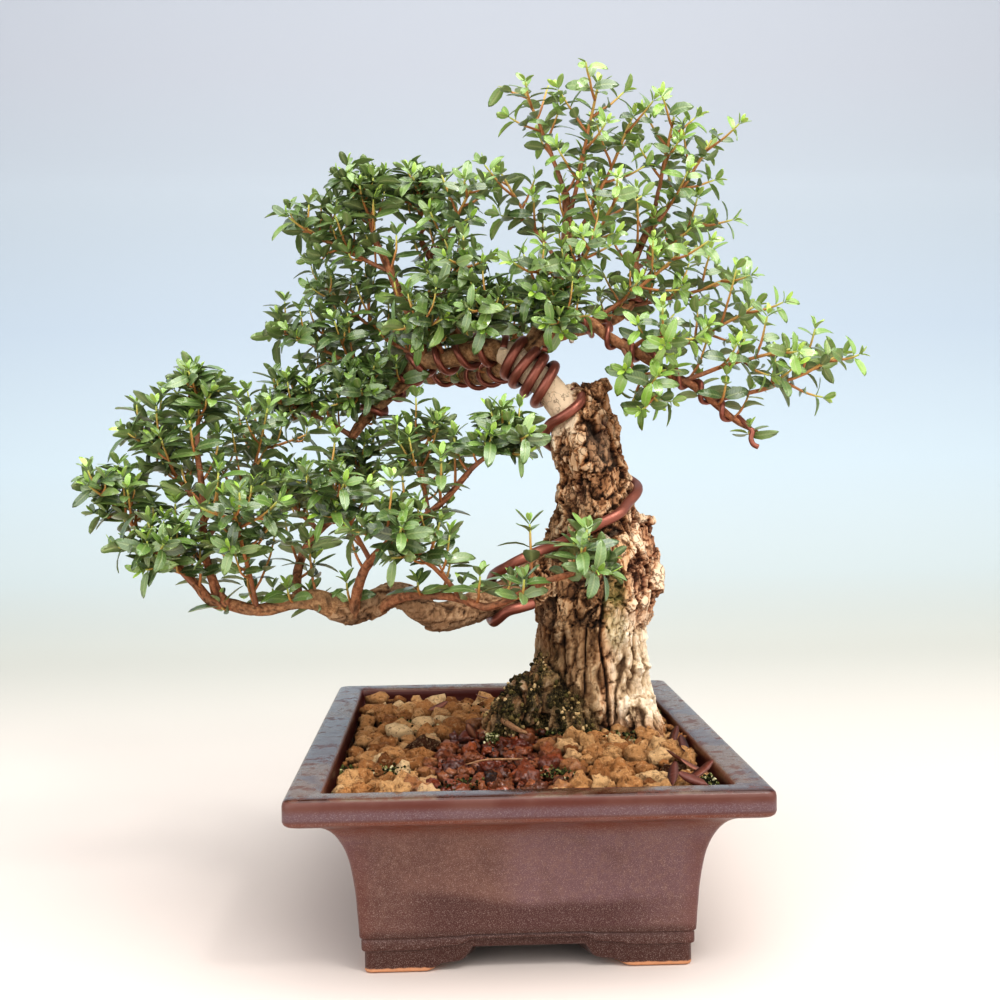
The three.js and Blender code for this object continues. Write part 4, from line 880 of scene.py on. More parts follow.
# how pale each place is, from the bottom of the clefts to the crests of the plates
# partly painted shade: besides the bark's own darker clefts, the clefts, the long crack, the valleys at the
# foot and the sunken side of each plate are darkened, and the raised crests lightened
deep = 0.68 + 0.34 * (number - 0.5) + 0.3 * lean - 0.6 * crack - 0.35 * small_crack
deep = deep + 0.24 * (small_number - 0.5) + 0.2 * small_lean
ridged = 0.34 - 0.45 * valley + 0.3 * (crest - 0.4) + 0.4 * (strand - 0.5)
deep = deep * (1 - 0.5 * lower) + lower * ridged
# how the painted shade on the left of the trunk thins out upward
fading = 1 - 0.3 * ease(z, 96, 110) - 0.7 * ease(z, 140, 156)
put_marks(mesh, {
    "deep": np.clip(1 - (1 - deep) * (0.25 + 0.75 * rough) - 0.75 * fissure - 0.24 * on_low, 0, 1),
    "plate": number,
    "rough": rough * (1 - 0.65 * lower),
    "moss": moss,
    "dead": dead,
    "algae": ease(x, 33, 36) * (1 - ease(x, 40, 44)) * ease(z, 88, 96) * (1 - ease(z, 112, 122)),
    "neck": on_neck,
    "hollow": hollow,
    "low": on_low,
    # painted shade on the left side of the trunk
    "brown": (1 - ease(x + 3 * bend[:, 2], 30, 36)) * fading * ease(x, 8, 16),
    # painted light on the right of the lower trunk
    "pale": ease(x + 3 * bend[:, 2], 33, 41) * (1 - ease(z, 100, 108)) * ease(z, 60, 70),
})
mesh.polygons.foreach_set("use_smooth", np.ones(len(mesh.polygons), bool))
mesh.update()
mesh.set_sharp_from_angle(angle=0.8)
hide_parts("wood")

# Moss and lichen: small cushions that grew by themselves, thick on the root and in low patches on the
# soil. They are nearly black where dry and olive in the light, with straw-coloured flecks.
ROOT_TUFTS = 900
# rows of the patches: middle and reach along x and y, number of tufts, shade
MOSS_PATCHES = [
    [-51, -50, 13, 5, 286, 0.42], [-9, -10, 3, 7, 99, 0.72], [22, -9, 11, 5, 264, 0.25],
    [60, -76, 6, 8, 176, 0.48], [38, -14, 10, 5, 132, 0.5], [-58, -88, 5, 4, 66, 0.42],
    [12, -60, 6, 5, 99, 0.45], [-20, -72, 5, 6, 77, 0.4], [8, 62, 30, 14, 264, 0.35],
    [-40, 30, 9, 16, 154, 0.4], [56, 40, 6, 22, 176, 0.45],
]


def moss_cushion():
    """Moss in brown shades, or in olive ones where the mark green is 1, both spotted by a fine noise."""
    moss_finish = Finish("dry moss", Roughness=0.95, Specular_IOR_Level=0.15)
    shade = moss_finish.mark("shade")
    fuzz = moss_finish.noise(1600, 4, 0.7)
    brown = moss_finish.ramp(shade + (fuzz - 0.5) * 0.3, (0.0, "150f07"), (0.32, "2d2712"), (0.52, "51482a"),
                             (0.7, "8e744a"), (0.85, "c6a272"), (1.0, "dccaa6"))
    olive = moss_finish.ramp(shade + (fuzz - 0.5) * 0.4, (0.0, "0f120a"), (0.42, "262c14"), (0.6, "4c5628"),
                             (0.76, "8c9460"), (0.9, "d2cca4"))
    moss_finish.lay("Base Color", moss_finish.mix(moss_finish.mark("green"), brown, olive))
    moss_finish.relief(fuzz, 0.6)
    return moss_finish


draw = np.random.default_rng(909)
grown = np.flatnonzero((moss > 0.62) & (cloud(spots / 4.5, 15, 2) > -0.15))
chosen = draw.choice(grown, min(len(grown), ROOT_TUFTS), replace=False)
tufts = [moved[chosen] - facing[chosen] * 0.1]
# some tufts on the root are pale flecks
shade = draw.normal(0.3, 0.2, len(chosen)) + 0.45 * (draw.uniform(0, 1, len(chosen)) > 0.62)
shades = [np.clip(shade, 0, 0.86)]
for middle_x, middle_y, reach_x, reach_y, count, shade in MOSS_PATCHES:
    spot = draw.normal(0, 0.5, (count, 2)) * [reach_x, reach_y] + [middle_x, middle_y]
    spot = np.clip(spot, -SOIL_CORNER, SOIL_CORNER)
    tufts.append(np.column_stack([spot, soil_top(spot[:, 0], spot[:, 1]) + draw.uniform(0.2, 2.4, count)]))
    shades.append(np.clip(draw.normal(shade, 0.25, count), 0, 1))
tufts = np.concatenate(tufts)
on_root = np.arange(len(tufts)) < len(chosen)
tuft_size = np.where(on_root, draw.uniform(0.3, 1.1, len(tufts)), draw.uniform(0.25, 0.68, len(tufts)))
moss_points, moss_faces, each = lumps(tufts, tuft_size, 31, 1, 0.35)
piece("moss_tufts", moss_points, [[moss_faces]], [moss_cushion()], "akadama_soil",
      shade=np.repeat(np.concatenate(shades), each), green=np.repeat(np.where(on_root, 0.15, 0.8), each))

# Limbs: the bent and wired branches with their own thin bark, which left the trunk or the neck and
# thin out to their tips. They grew as one piece with the trunk; here each is a tube set into it.
LOW_FREE = 11


def young_bark():
    """Thin bark of the limbs: grey-tan and finely cracked when thick, red-brown when thin, with painted
    shade in the cracks.
    """
    bark = Finish("thin limb bark", Roughness=0.8, Specular_IOR_Level=0.3)
    thick = bark.mark("thick")
    grain = bark.noise(700, 5, 0.7)
    patch = bark.noise(120, 3)
    old = bark.ramp(grain, (0.25, "573c28"), (0.45, "946e4c"), (0.6, "b58e66"), (0.8, "d2b28a"))
    young = bark.ramp(grain, (0.25, "5a3321"), (0.5, "925d40"), (0.8, "b98863"))
    colour = bark.mix(thick.fade(1.4, 3.2), young, old)
    colour = bark.mix(patch.fade(0.5, 0.65) * 0.3, colour, "6b5a48")
    # painted shade in the sunken cracks of the limbs; on the dropped twigs the mark only darkens their bark
    # to grey-brown
    colour = bark.mix(bark.mark("deep") * 0.8, colour, "2e1f15")
    bark.lay("Base Color", colour)
    bark.relief(bark.noise(500, 5, 0.7), 0.5)
    return bark


limb_parts, thickness, clefts = [], [], []
for name, route in LIMBS.items():
    if name == "neck":
        continue
    curve = smooth(route[LOW_FREE:] if name == "low" else route, 8)
    sides = 20 if curve[0, 3] > 3.5 else 14
    angle = 2 * np.pi * np.arange(sides) / sides
    shape = (len(curve), sides)
    spread = np.stack([curve[:, 3:4] * np.cos(angle) / 2.2, curve[:, 3:4] * np.sin(angle) / 2.2,
                       np.broadcast_to(lengths(curve)[:, None] / 6, shape)], -1).reshape(-1, 3)
    # the cracks sink into the bark, and the mark deep darkens them with painted shade
    crack = np.exp(-(cloud(spread * 1.4, 51, 2) / 0.08) ** 2)
    grow = 1 + (0.13 * cloud(spread + 7, 50, 3) - 0.10 * crack)
    limb_parts.append(tube(curve, sides, grow.reshape(shape)))
    thickness.append(np.append(np.repeat(curve[:, 3], sides), [curve[0, 3], curve[-1, 3]]))
    clefts.append(np.append(crack, [0, 0]))
limb_points, limb_quads, limb_threes = gather(limb_parts)
limbs = piece("limbs_bark", limb_points, [[limb_quads, limb_threes]], [young_bark()], "myrtle_bark",
              thick=np.concatenate(thickness), deep=np.concatenate(clefts))
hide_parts("wood")

# Training wire: copper-brown anodised aluminium, wound round the limbs by hand. The thick one grips
# the low branch, crosses the front of the trunk, goes round the back and coils up the neck.
THICK_WIRE = 2.0
MIDDLE_WIRE = 1.4
THIN_WIRE = 1.0
WIRE_SIDES = 14
BARK_GAP = 0.05
# the loop that the thick wire makes round the low limb before it climbs the trunk
WIRE_LOOP = [
    [7, -8.6, 108.8], [2, -11.6, 107.8], [-2.5, -11.8, 106.6], [-6, -8.8, 103.4], [-7.6, -3.4, 102],
    [-8.6, 2.6, 104.8], [-8.6, 4.2, 111.4], [-7.6, 0.6, 118], [-6, -5.8, 120.6], [-2.6, -10.2, 122.8],
    [2, -11.6, 125.4], [9, -8.4, 128.2],
]


def coil(limb, radius, start, end, pitch, turn, first=0):
    """A wire round a limb, close on its bark: one turn for each pitch of length.

    first is how much longer the first turn is than the others.
    """
    curve = smooth(LIMBS[limb], 6)
    _, side, up = frames(curve)
    along = lengths(curve)
    turns = np.linspace(0, (end - start - first) / pitch, int((end - start) / pitch * 22))
    wanted = start + turns * pitch + first * ease(turns, 0.25, 1.25)
    angle = turn + 2 * np.pi * turns
    point, sideways, upward = (at_length(rows, along, wanted) for rows in (curve, side, up))
    across = unit(sideways) * np.cos(angle)[:, None] + unit(upward) * np.sin(angle)[:, None]
    path = point[:, :3] + across * (point[:, 3:4] + radius + BARK_GAP)
    return np.column_stack([path, np.full(len(path), radius)])


def thick_wire():
    """The thick wire's centre line: the loop, the climb round the trunk, then the neck coil."""
    step = np.arange(15)
    height = np.where(step < 5, 130.6 + 3.8 * step, 149.6 + 2.6 * (step - 5))
    angle = np.radians(222 + 23.5 * step)
    rows = np.array(TRUNK, float)
    middle_x, middle_y, radius = at_length(rows[:, 1:], rows[:, 0], height).T
    reach = radius * trunk_relief(angle, height) + THICK_WIRE + 0.8
    climb = np.stack([middle_x + reach * np.cos(angle), middle_y + reach * np.sin(angle), height], 1)
    first = smooth(np.vstack([WIRE_LOOP, climb]), 8)
    neck = coil("neck", THICK_WIRE, 12, 42, 4.8, 2.2, first=9.0)
    bridge = smooth(np.vstack([first[-9], first[-1], neck[0, :3], neck[8, :3]]), 8)[8:17]
    path = np.vstack([first[:-1], bridge[:-1], neck[:, :3]])
    return np.column_stack([path, np.full(len(path), THICK_WIRE)])


def anodised():
    """Copper-brown anodised wire: satin metal with faint scratches, bright aluminium where it was cut."""
    metal = Finish("copper-brown anodised wire", Metallic=0.65, Roughness=0.34)
    scratch = metal.noise(900, 4, 0.6)
    colour = metal.mix(metal.noise(90, 3), "7e4a3e", "935c4c")
    colour = metal.mix(scratch.fade(0.6, 0.75) * 0.4, colour, "60382e")
    metal.lay("Base Color", metal.mix(metal.mark("cut").fade(0.4, 0.6), colour, "d9d2c8"))
    metal.lay("Roughness", 0.26 + scratch * 0.22)
    metal.relief(metal.noise(1600, 3), 0.05)
    return metal


# the free end of the right wire is bent down at the end of its limb
HOOK = [[89.5, -8.5, 173.4, THIN_WIRE], [90.4, -8.8, 172, THIN_WIRE], [89.8, -9, 169.6, THIN_WIRE],
        [90.6, -9.2, 167.4, THIN_WIRE], [92.4, -9.2, 166.4, THIN_WIRE]]
WIRES = {
    "wire_thick": thick_wire(),
    "wire_left": coil("leftLimb", MIDDLE_WIRE, 3, 70, 9.4, 3.4),
    "wire_right": np.vstack([coil("rightLimb", THIN_WIRE, 9, 98, 10.4, 0.5), smooth(HOOK, 4)]),
    "wire_riser": coil("riser", THIN_WIRE, 16, 52, 9.0, 2.0),
    "wire_back": coil("backLimb", THIN_WIRE, 10, 66, 12, 0.4),
}
wire_finish = anodised()
for name, curve in WIRES.items():
    # each end is cut square: one more ring just beyond, a little smaller, closes it with a bright face
    ends = []
    for end, inner in ((curve[0], curve[1]), (curve[-1], curve[-2])):
        ring = end + (end - inner) / np.linalg.norm((end - inner)[:3]) * 0.12
        ring[3] = 0.9 * end[3]
        ends.append(ring)
    curve = np.vstack([ends[0], curve, ends[1]])
    wire_points, wire_quads, wire_threes = tube(curve, WIRE_SIDES, bulge=0.02)
    # the outermost ring at either end, and the two end points, which come last
    cut = np.zeros(len(wire_points))
    cut[:WIRE_SIDES] = cut[-WIRE_SIDES - 2:] = 1
    wire = piece(name + "_wound", wire_points, [[wire_quads, wire_threes]], [wire_finish],
                 "copper_brown_wire", cut=cut)
    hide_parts(name)

# Sprays: side twigs with their shoots and opposite pairs of narrow leaves, each pair at right angles
# to the next, and a tuft of young leaves at every tip. One object for each spray of the part.
# the limb a spray sits on, how far along it, the tip of the spray and the lift of its middle
SPRAYS = [
    ["leader", 1.0, [5, 20, 315], 2], ["leader", 0.84, [37, 4, 312], -2], ["leader", 0.7, [54, 22, 304], -6],
    ["riser", 1.0, [68, 16, 303], 0], ["riser", 0.86, [88, 30, 296], -4], ["riser", 0.7, [90, 46, 264], 2],
    ["leader", 0.6, [-4, 36, 284], -4], ["leader", 0.52, [46, -2, 268], -4],
    ["riser", 0.52, [96, 20, 236], -4], ["leader", 0.34, [34, -14, 248], -3],
    ["midRiser", 0.86, [-10, 4, 272], -4], ["midRiser", 0.5, [-14, -12, 240], 0],
    ["leader", 0.2, [10, -20, 238], 2], ["rightLimb", 0.12, [22, -22, 216], 6],
    ["leftLimb", 0.16, [-8, -20, 222], 4], ["leftLimb", 0.36, [-36, -14, 216], 6],
    ["leftRiser", 1.0, [-58, 26, 278], 0], ["leftRiser", 0.74, [-86, 28, 260], -2],
    ["midRiser", 1.0, [-34, 22, 278], 0], ["leftLimb", 0.62, [-94, 34, 219], -4],
    ["leftLimb", 0.46, [-78, 54, 240], -6], ["leftLimb", 1.0, [-99, 26, 190], 4],
    ["leftLimb", 0.8, [-64, 4, 188], 10], ["rightLimb", 0.28, [72, 4, 246], -4],
    ["rightLimb", 0.52, [102, 8, 224], -4], ["rightLimb", 0.68, [110, -16, 204], 2],
    ["rightLimb", 0.8, [134, 2, 204], -6], ["rightLimb", 0.46, [64, -26, 206], 5],
    ["rightLimb", 0.42, [57, -16, 178], -3], ["backLimb", 1.0, [-48, 90, 214], 2],
    ["backLimb", 0.8, [-4, 88, 228], 0], ["backLimb", 0.45, [18, 60, 232], 0],
    ["riser", 0.36, [62, 56, 236], 0], ["low", 1.0, [-151, -30, 160], 0],
    ["lowTall", 0.66, [-138, -14, 180], -4], ["lowTall", 1.0, [-112, -22, 197], 0],
    ["low", 0.9, [-130, -52, 138], 2], ["low", 0.76, [-96, -60, 152], 4],
    ["lowTall", 0.44, [-88, 14, 178], -4], ["lowBack", 1.0, [-58, 46, 172], 0],
    ["lowBack", 0.66, [-98, 24, 156], 2], ["lowEast", 0.36, [-68, -58, 160], 2],
    ["lowEast", 0.72, [-36, -8, 178], 0], ["lowEast", 1.0, [6, -46, 174], 2],
    ["lowFront", 0.5, [-50, -70, 144], 6], ["lowFront", 1.0, [28, -62, 131], 2],
]
SHOOTS = 6
TIP_LEAVES = 7.0
TWIG_SIDES = 5
GOLDEN_TURN = 2.39996
HALF_TURN = 3.14159
QUARTER_TURN = 1.5708
STALK = 0.6
# a leaf's rings: share of the length, and of the half width there; and their points: across and up
LEAF_RINGS = np.array([[0.03, 0.14], [0.18, 0.74], [0.44, 1.0], [0.72, 0.9], [0.91, 0.54]])
LEAF_ACROSS = np.array([[-1.0, 0], [0, 1], [1.0, 0], [0, -1]])
# pairs of leaves at a tip: how far they are opened, their length and their youth
TIP_PAIRS = [(0.95, 6.2, 0.48), (0.5, 4.2, 0.78)]


def draws(seed):
    """Numbers from 0 to 1 in the fixed order that also lays out the plain sprays of the part."""
    state = seed
    while True:
        state = state * 16807 % 2147483647
        yield state / 2147483647


def bezier(route, t):
    """Place on a curve of three points, at a share t of it."""
    a, b, c = route
    return a * (1 - t) ** 2 + b * 2 * t * (1 - t) + c * t * t


def bezier_heading(route, t):
    """Direction of that curve at the same share."""
    a, b, c = route
    return unit((b - a) * (1 - t) + (c - b) * t)


def turned(heading, turn):
    """Direction at right angles to a heading, turned about it."""
    flat = np.array([0, 0, 1.0] if abs(heading[2]) < 0.95 else [1.0, 0, 0])
    u = unit(np.cross(heading, flat))
    return u * np.cos(turn) + np.cross(u, heading) * np.sin(turn)


def spray_stems(base, tip, lift, seed):
    """The axis of a spray and its side shoots, each a curve of three points, as in the part."""
    draw = draws(seed)
    span = np.linalg.norm(tip - base) - TIP_LEAVES
    end = base + unit(tip - base) * span
    axis = [base, (base + end) / 2 + [0, 0, lift], end]
    stems = [axis]
    start = 6.2832 * next(draw)
    for k in range(SHOOTS):
        t = 0.34 + 0.56 * k / (SHOOTS - 1)
        heading = bezier_heading(axis, t)
        across = turned(heading, start + GOLDEN_TURN * k)
        length = min(26.0, max(13.0, span * (0.28 + 0.2 * next(draw))))
        root = bezier(axis, t)
        stems.append([root, root + 0.34 * length * across + 0.24 * length * heading,
                      root + [0, 0, 0.2 * length] + 0.7 * length * across + 0.46 * length * heading])
    return stems


def upright_stem(root, heading, across, length, rise):
    """A shoot that leaves its twig sideways and bends up to the light."""
    sideways = unit(0.8 * across + 0.35 * heading)
    return [root, root + 0.42 * length * sideways + [0, 0, 0.12 * length],
            root + length * (0.5 * sideways + np.array([0, 0, rise]))]


def finer_stems(stems, seed, more):
    """The shoots between the main ones: more on the axis, and one on each side shoot of a full spray."""
    draw = np.random.default_rng(seed)
    axis = stems[0]
    span = np.linalg.norm(axis[2] - axis[0])
    places = [(axis, t, min(22.0, max(11.0, 0.42 * span))) for t in np.linspace(0.16, 0.94, more)]
    if more > 5:
        places += [(route, 0.5, 0.62 * np.linalg.norm(route[2] - route[0])) for route in stems[1:]]
    out = []
    turn = draw.uniform(0, 6.28)
    for route, t, length in places:
        turn += GOLDEN_TURN
        heading = bezier_heading(route, t)
        across = turned(heading, turn + draw.uniform(-0.4, 0.4))
        out.append(upright_stem(bezier(route, t), heading, across, length * draw.uniform(0.7, 1.2),
                                draw.uniform(0.35, 0.75)))
    return out


def stem_leaves(route, first, seed):
    """Leaves of one stem as rows: foot, direction, heading of the stem, length, width, youth, droop.

    The leaves begin at the share first. Each pair is a quarter turn on from the last, and the youngest is
    nearest the tip. Leaves of the crown and the right limb are shorter and more oval than the others.
    """
    draw = draws(seed)
    more = np.random.default_rng(seed)
    length = np.linalg.norm(route[1] - route[0]) + np.linalg.norm(route[2] - route[1])
    oval = float(ease(route[0][0] + 0.3 * (route[0][2] - 200), 5, 40))
    pairs = max(2, round((1 - first) * length / (4.7 + 0.9 * oval)))
    out = []
    for j in range(pairs):
        t = first + (1 - first) * (j + 0.5) / pairs
        heading = bezier_heading(route, t)
        twist = QUARTER_TURN * j + 0.5 * next(draw)
        near_tip = (j + 1) / pairs
        for s in range(2):
            across = turned(heading, twist + HALF_TURN * s)
            leaf_length = 10.2 + 4.2 * next(draw)
            opened = 0.75 + 0.35 * next(draw)
            direction = unit((opened + 0.35) * across + 0.5 * heading + np.array([0, 0, 0.16]))
            width = leaf_length * (0.36 + 0.11 * next(draw)) * (1 + 0.16 * oval)
            shrink = (0.9 - 0.14 * near_tip - 0.12 * oval) * more.uniform(0.8, 1.1)
            # partly painted light: the leaves of the crown and the right limb count as younger and so
            # lighter, as new growth and where the light falls on them
            age = 0.5 * max(0.0, near_tip - 0.55) + more.uniform(0, 0.16) + 0.17 * oval
            out.append([*bezier(route, t), *direction, *heading, leaf_length * shrink, width * shrink, age,
                        more.uniform(0.12, 0.58)])
    heading = bezier_heading(route, 1)
    turn = QUARTER_TURN * pairs + 0.4
    for ring, (opened, size, age) in enumerate(TIP_PAIRS):
        for s in range(2):
            across = turned(heading, turn + QUARTER_TURN * ring + HALF_TURN * s + more.uniform(-0.2, 0.2))
            direction = unit(opened * across + heading)
            reach = size * more.uniform(0.75, 1.2)
            # the tip leaves outside the crown and the right limb are made less young and so darker
            younger = age - 0.22 * (1 - oval) * more.uniform(0, 1.6)
            out.append([*(route[2] + heading * 0.6 * ring), *direction, *heading, reach, reach * 0.44,
                        younger, more.uniform(-0.05, 0.3)])
    return out


def leaf_blades(rows, seed):
    """Leaves as flat closed tubes of five rings, from rows as stem_leaves gives them.

    The half width rises and falls along the blade. Either half is folded up from the midrib, the blade
    droops with the square of the distance from its foot, and it stands on a short stalk.
    """
    draw = np.random.default_rng(seed)
    foot, direction, heading = rows[:, 0:3], rows[:, 3:6], rows[:, 6:9]
    length, width, age, droop = rows[:, 9:].T
    face = unit(heading - direction * (heading * direction).sum(1, keepdims=True))
    across = np.cross(face, direction)
    roll = draw.normal(0, 0.3, len(rows))[:, None]
    face, across = (face * np.cos(roll) + across * np.sin(roll),
                    across * np.cos(roll) - face * np.sin(roll))
    long, wide, hang = (column[:, None, None] for column in (length, width, droop))
    bow = draw.normal(0, 0.05, len(rows))[:, None, None]
    fold = draw.uniform(0.08, 0.42, len(rows))[:, None, None]
    along = LEAF_RINGS[None, :, :1]
    side = 0.5 * wide * LEAF_RINGS[None, :, 1:] * LEAF_ACROSS[:, 0]
    lift = fold * np.abs(side) + (0.16 + 0.06 * (1 - along)) * LEAF_ACROSS[:, 1] - hang * long * along ** 2
    side = side + bow * long * np.sin(np.pi * along)
    out = STALK + along * long
    points = (foot[:, None, None] + direction[:, None, None] * out[..., None]
              + across[:, None, None] * side[..., None] + face[:, None, None] * lift[..., None])
    tip = foot + direction * (length + STALK)[:, None] - face * (droop * length)[:, None]
    points = np.concatenate([points.reshape(len(rows), -1, 3), foot[:, None], tip[:, None]], 1)
    count, sides, each = len(LEAF_RINGS), len(LEAF_ACROSS), points.shape[1]
    start = (np.arange(len(rows)) * each)[:, None, None]
    quads = (grid_faces(count, sides)[:, ::-1] + start).reshape(-1, 4)
    ends = (end_faces(count, sides)[:, [0, 2, 1]] + start).reshape(-1, 3)
    below = np.tile(LEAF_ACROSS[:, 1] < -0.1, count)
    marks = {
        "along": np.tile(np.append(np.repeat(LEAF_RINGS[:, 0], sides), [0, 1]), len(rows)),
        "across": np.tile(np.append(np.tile(LEAF_ACROSS[:, 0], count), [0, 0]), len(rows)),
        "under": np.tile(np.append(below, [0, 0]), len(rows)).astype(float),
        "age": np.repeat(age, each),
        "pick": np.repeat(draw.uniform(0, 1, len(rows)), each),
    }
    return points.reshape(-1, 3), quads, ends, marks


def leaf_green():
    """Leathery leaf: glossy green with a pale midrib, dull and paler below, yellow-green when young."""
    leaf = Finish("glossy myrtle leaf", Specular_IOR_Level=0.7, Coat_Roughness=0.18)
    along, across, under = leaf.mark("along"), leaf.mark("across"), leaf.mark("under")
    age, pick = leaf.mark("age"), leaf.mark("pick")
    mottle = leaf.noise(260, 3)
    old = leaf.ramp(pick * 0.8 + mottle * 0.3, (0.1, "2f4127"), (0.35, "42592f"), (0.65, "58703c"),
                    (0.9, "728a4c"), (1.0, "88a155"))
    young = leaf.ramp(age, (0.2, "5f8632"), (0.6, "88af3a"), (1.0, "b2cc48"))
    colour = leaf.mix(age.fade(0.14, 0.7), old, young)
    colour = leaf.mix(under * 0.8, colour, leaf.mix(age.fade(0.3, 0.8), "8a9666", "a9b86a"))
    middle = 1 - (across * across).fade(0.0, 0.05)
    colour = leaf.mix(middle * (1 - along * 0.7) * 0.32, colour, "b4bd80")
    # side veins run slanting from the midrib
    wave = (along * 58 - abs(across) * 9).sine() * 0.5 + 0.5
    colour = leaf.mix(wave.fade(0.7, 1.0) * 0.10, colour, "a2b06c")
    # painted sheen: a faint pale rim along the edges of each blade
    edge = (across * across).fade(0.55, 1.0)
    colour = leaf.mix(edge * 0.1, colour, "a9b46a")
    leaf.lay("Base Color", colour)
    leaf.lay("Roughness", 0.30 + under * 0.3 + mottle * 0.1)
    leaf.lay("Coat Weight", (1 - under) * 0.7)
    leaf.relief((1 - middle * 0.8) + wave * 0.25, 0.12)
    return leaf


def twig_bark():
    """Twigs: brown and dull near the limb, orange-red further out and green at the soft tips."""
    bark = Finish("twig bark", Roughness=0.6)
    out = bark.mark("along")
    grain = bark.noise(900, 4, 0.6)
    colour = bark.ramp(out + (grain - 0.5) * 0.3, (0.0, "78503c"), (0.3, "965e3a"), (0.65, "ae7542"),
                       (0.85, "b4924c"), (1.0, "9eac50"))
    colour = bark.mix(grain.fade(0.55, 0.7) * 0.3, colour, "c79a6a")
    bark.lay("Base Color", colour)
    bark.relief(grain, 0.2)
    return bark


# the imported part's box in mm, drawn in by this much, which the leaves stay inside
EDGE_GAP = 0.6
OUTLINE = np.array([list(side) for side in cad_box]) * 1000 - POT_MIDDLE + [[EDGE_GAP], [-EDGE_GAP]]
leaf_finish = leaf_green()
twig_finish = twig_bark()
limb_curves = {name: smooth(route, 3) for name, route in LIMBS.items()}


def leafy_twigs(name, stems, first, seeds):
    """One mesh of twigs with their leaves.

    Each stem is a curve of three points, the radii of its ends, a number for its bark there, from 0 at the
    limb to 1 at a tip, and its number of rings. first is the share of each where its leaves begin.
    """
    twigs, outs, rows = [], [], []
    for (route, thick, thin, near, far, steps), start, seed in zip(stems, first, seeds):
        t = np.linspace(0, 1, steps)
        line = np.stack([bezier(route, value) for value in t])
        wobble = clouds(line / 7, 60, 2) * 0.7 * np.sin(np.pi * t)[:, None]
        twigs.append(tube(np.column_stack([line + wobble, thick + (thin - thick) * t]), TWIG_SIDES))
        reach = np.repeat(near + (far - near) * t, TWIG_SIDES)
        outs.append(np.append(reach, [reach[0], reach[-1]]))
        rows += stem_leaves(route, start, seed)
    twig_points, twig_quads, twig_threes = gather(twigs)
    rows = np.array(rows)
    # a leaf at the edge of the tree is only as long as the tree's measured outline leaves room for
    toward = np.where(rows[:, 3:6] > 0, OUTLINE[1], OUTLINE[0])
    room = ((toward - rows[:, 0:3]) / rows[:, 3:6]).min(1)
    rows, room = rows[room > 5], room[room > 5]
    rows[:, 9] = np.minimum(rows[:, 9], np.clip(room - 0.8, 2.0, None))
    leaf_points, leaf_quads, leaf_threes, marks = leaf_blades(rows, seeds[0])
    least, most = OUTLINE + [[-EDGE_GAP / 2], [EDGE_GAP / 2]]
    beyond = ((leaf_points > most) | (leaf_points < least)).reshape(len(rows), -1).any(1)
    if beyond.any():
        rows[beyond, 9:11] *= 0.6
        rows[beyond, 12] *= 0.2
        leaf_points, leaf_quads, leaf_threes, marks = leaf_blades(rows, seeds[0])
    marks = {key: np.concatenate([values, np.zeros(len(twig_points))]) for key, values in marks.items()}
    start = len(leaf_points)
    marks["along"][start:] = np.concatenate(outs)
    points = np.clip(np.concatenate([leaf_points, twig_points]), least, most)
    faces = [[leaf_quads, leaf_threes], [twig_quads + start, twig_threes + start]]
    thing = piece(name, points, faces, [leaf_finish, twig_finish], "myrtle_leaf", **marks)
    # the blades have sharp edges
    ends = np.zeros(len(thing.data.edges) * 2, np.int32)
    thing.data.edges.foreach_get("vertices", ends)
    rims = marks["across"][ends.reshape(-1, 2)]
    sharp = thing.data.attributes.new("sharp_edge", "BOOLEAN", "EDGE")
    sharp.data.foreach_set("value", np.abs(rims.sum(1)) > 1.5)
    return thing


for index, (limb, share, tip, lift) in enumerate(SPRAYS):
    curve = limb_curves[limb][:, :3]
    along = lengths(curve)
    base = at_length(curve, along, share * along[-1])
    main = spray_stems(base, np.array(tip, float), lift, 101 + 37 * index)
    # the crown, the right limb and the spray before the trunk are open, the left side is dense
    if tip[2] > 282 or tip[1] < -60 and tip[0] > 0 or tip[0] > 50 and tip[2] < 210:
        full = 0
    elif tip[0] > 40:
        full = 1
    else:
        full = 3 if tip[2] > 225 and tip[0] > -30 else 7
    fine = finer_stems(main, 300 + index, full)
    stems = [(main[0], 1.0, 0.5, 0.0, 0.95, 12)]
    stems += [(route, 0.6, 0.36, 0.4, 1.0, 6) for route in main[1:]]
    stems += [(route, 0.48, 0.32, 0.45, 1.0, 6) for route in fine]
    # the low dense sprays are bare of leaves further up their twigs
    bare = 0.1 * float(1 - ease(np.array(tip[0]), -20, 20))
    first = [0.34 + bare] + [0.26 + bare] * SHOOTS + [0.14 + bare] * len(fine)
    seeds = [7001 + 53 * index + 11 * k for k in range(len(stems))]
    spray = leafy_twigs(f"spray_{index + 1:02d}_leaves", stems, first, seeds)
    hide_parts(f"spray_{index + 1:02d}")

# Limb shoots: short upright shoots that break from the limbs between the sprays, thin enough to be
# no node of the part, with the same leaves. They grew on the limbs, and stand all round them.
SHOOT_PITCH = 7.5
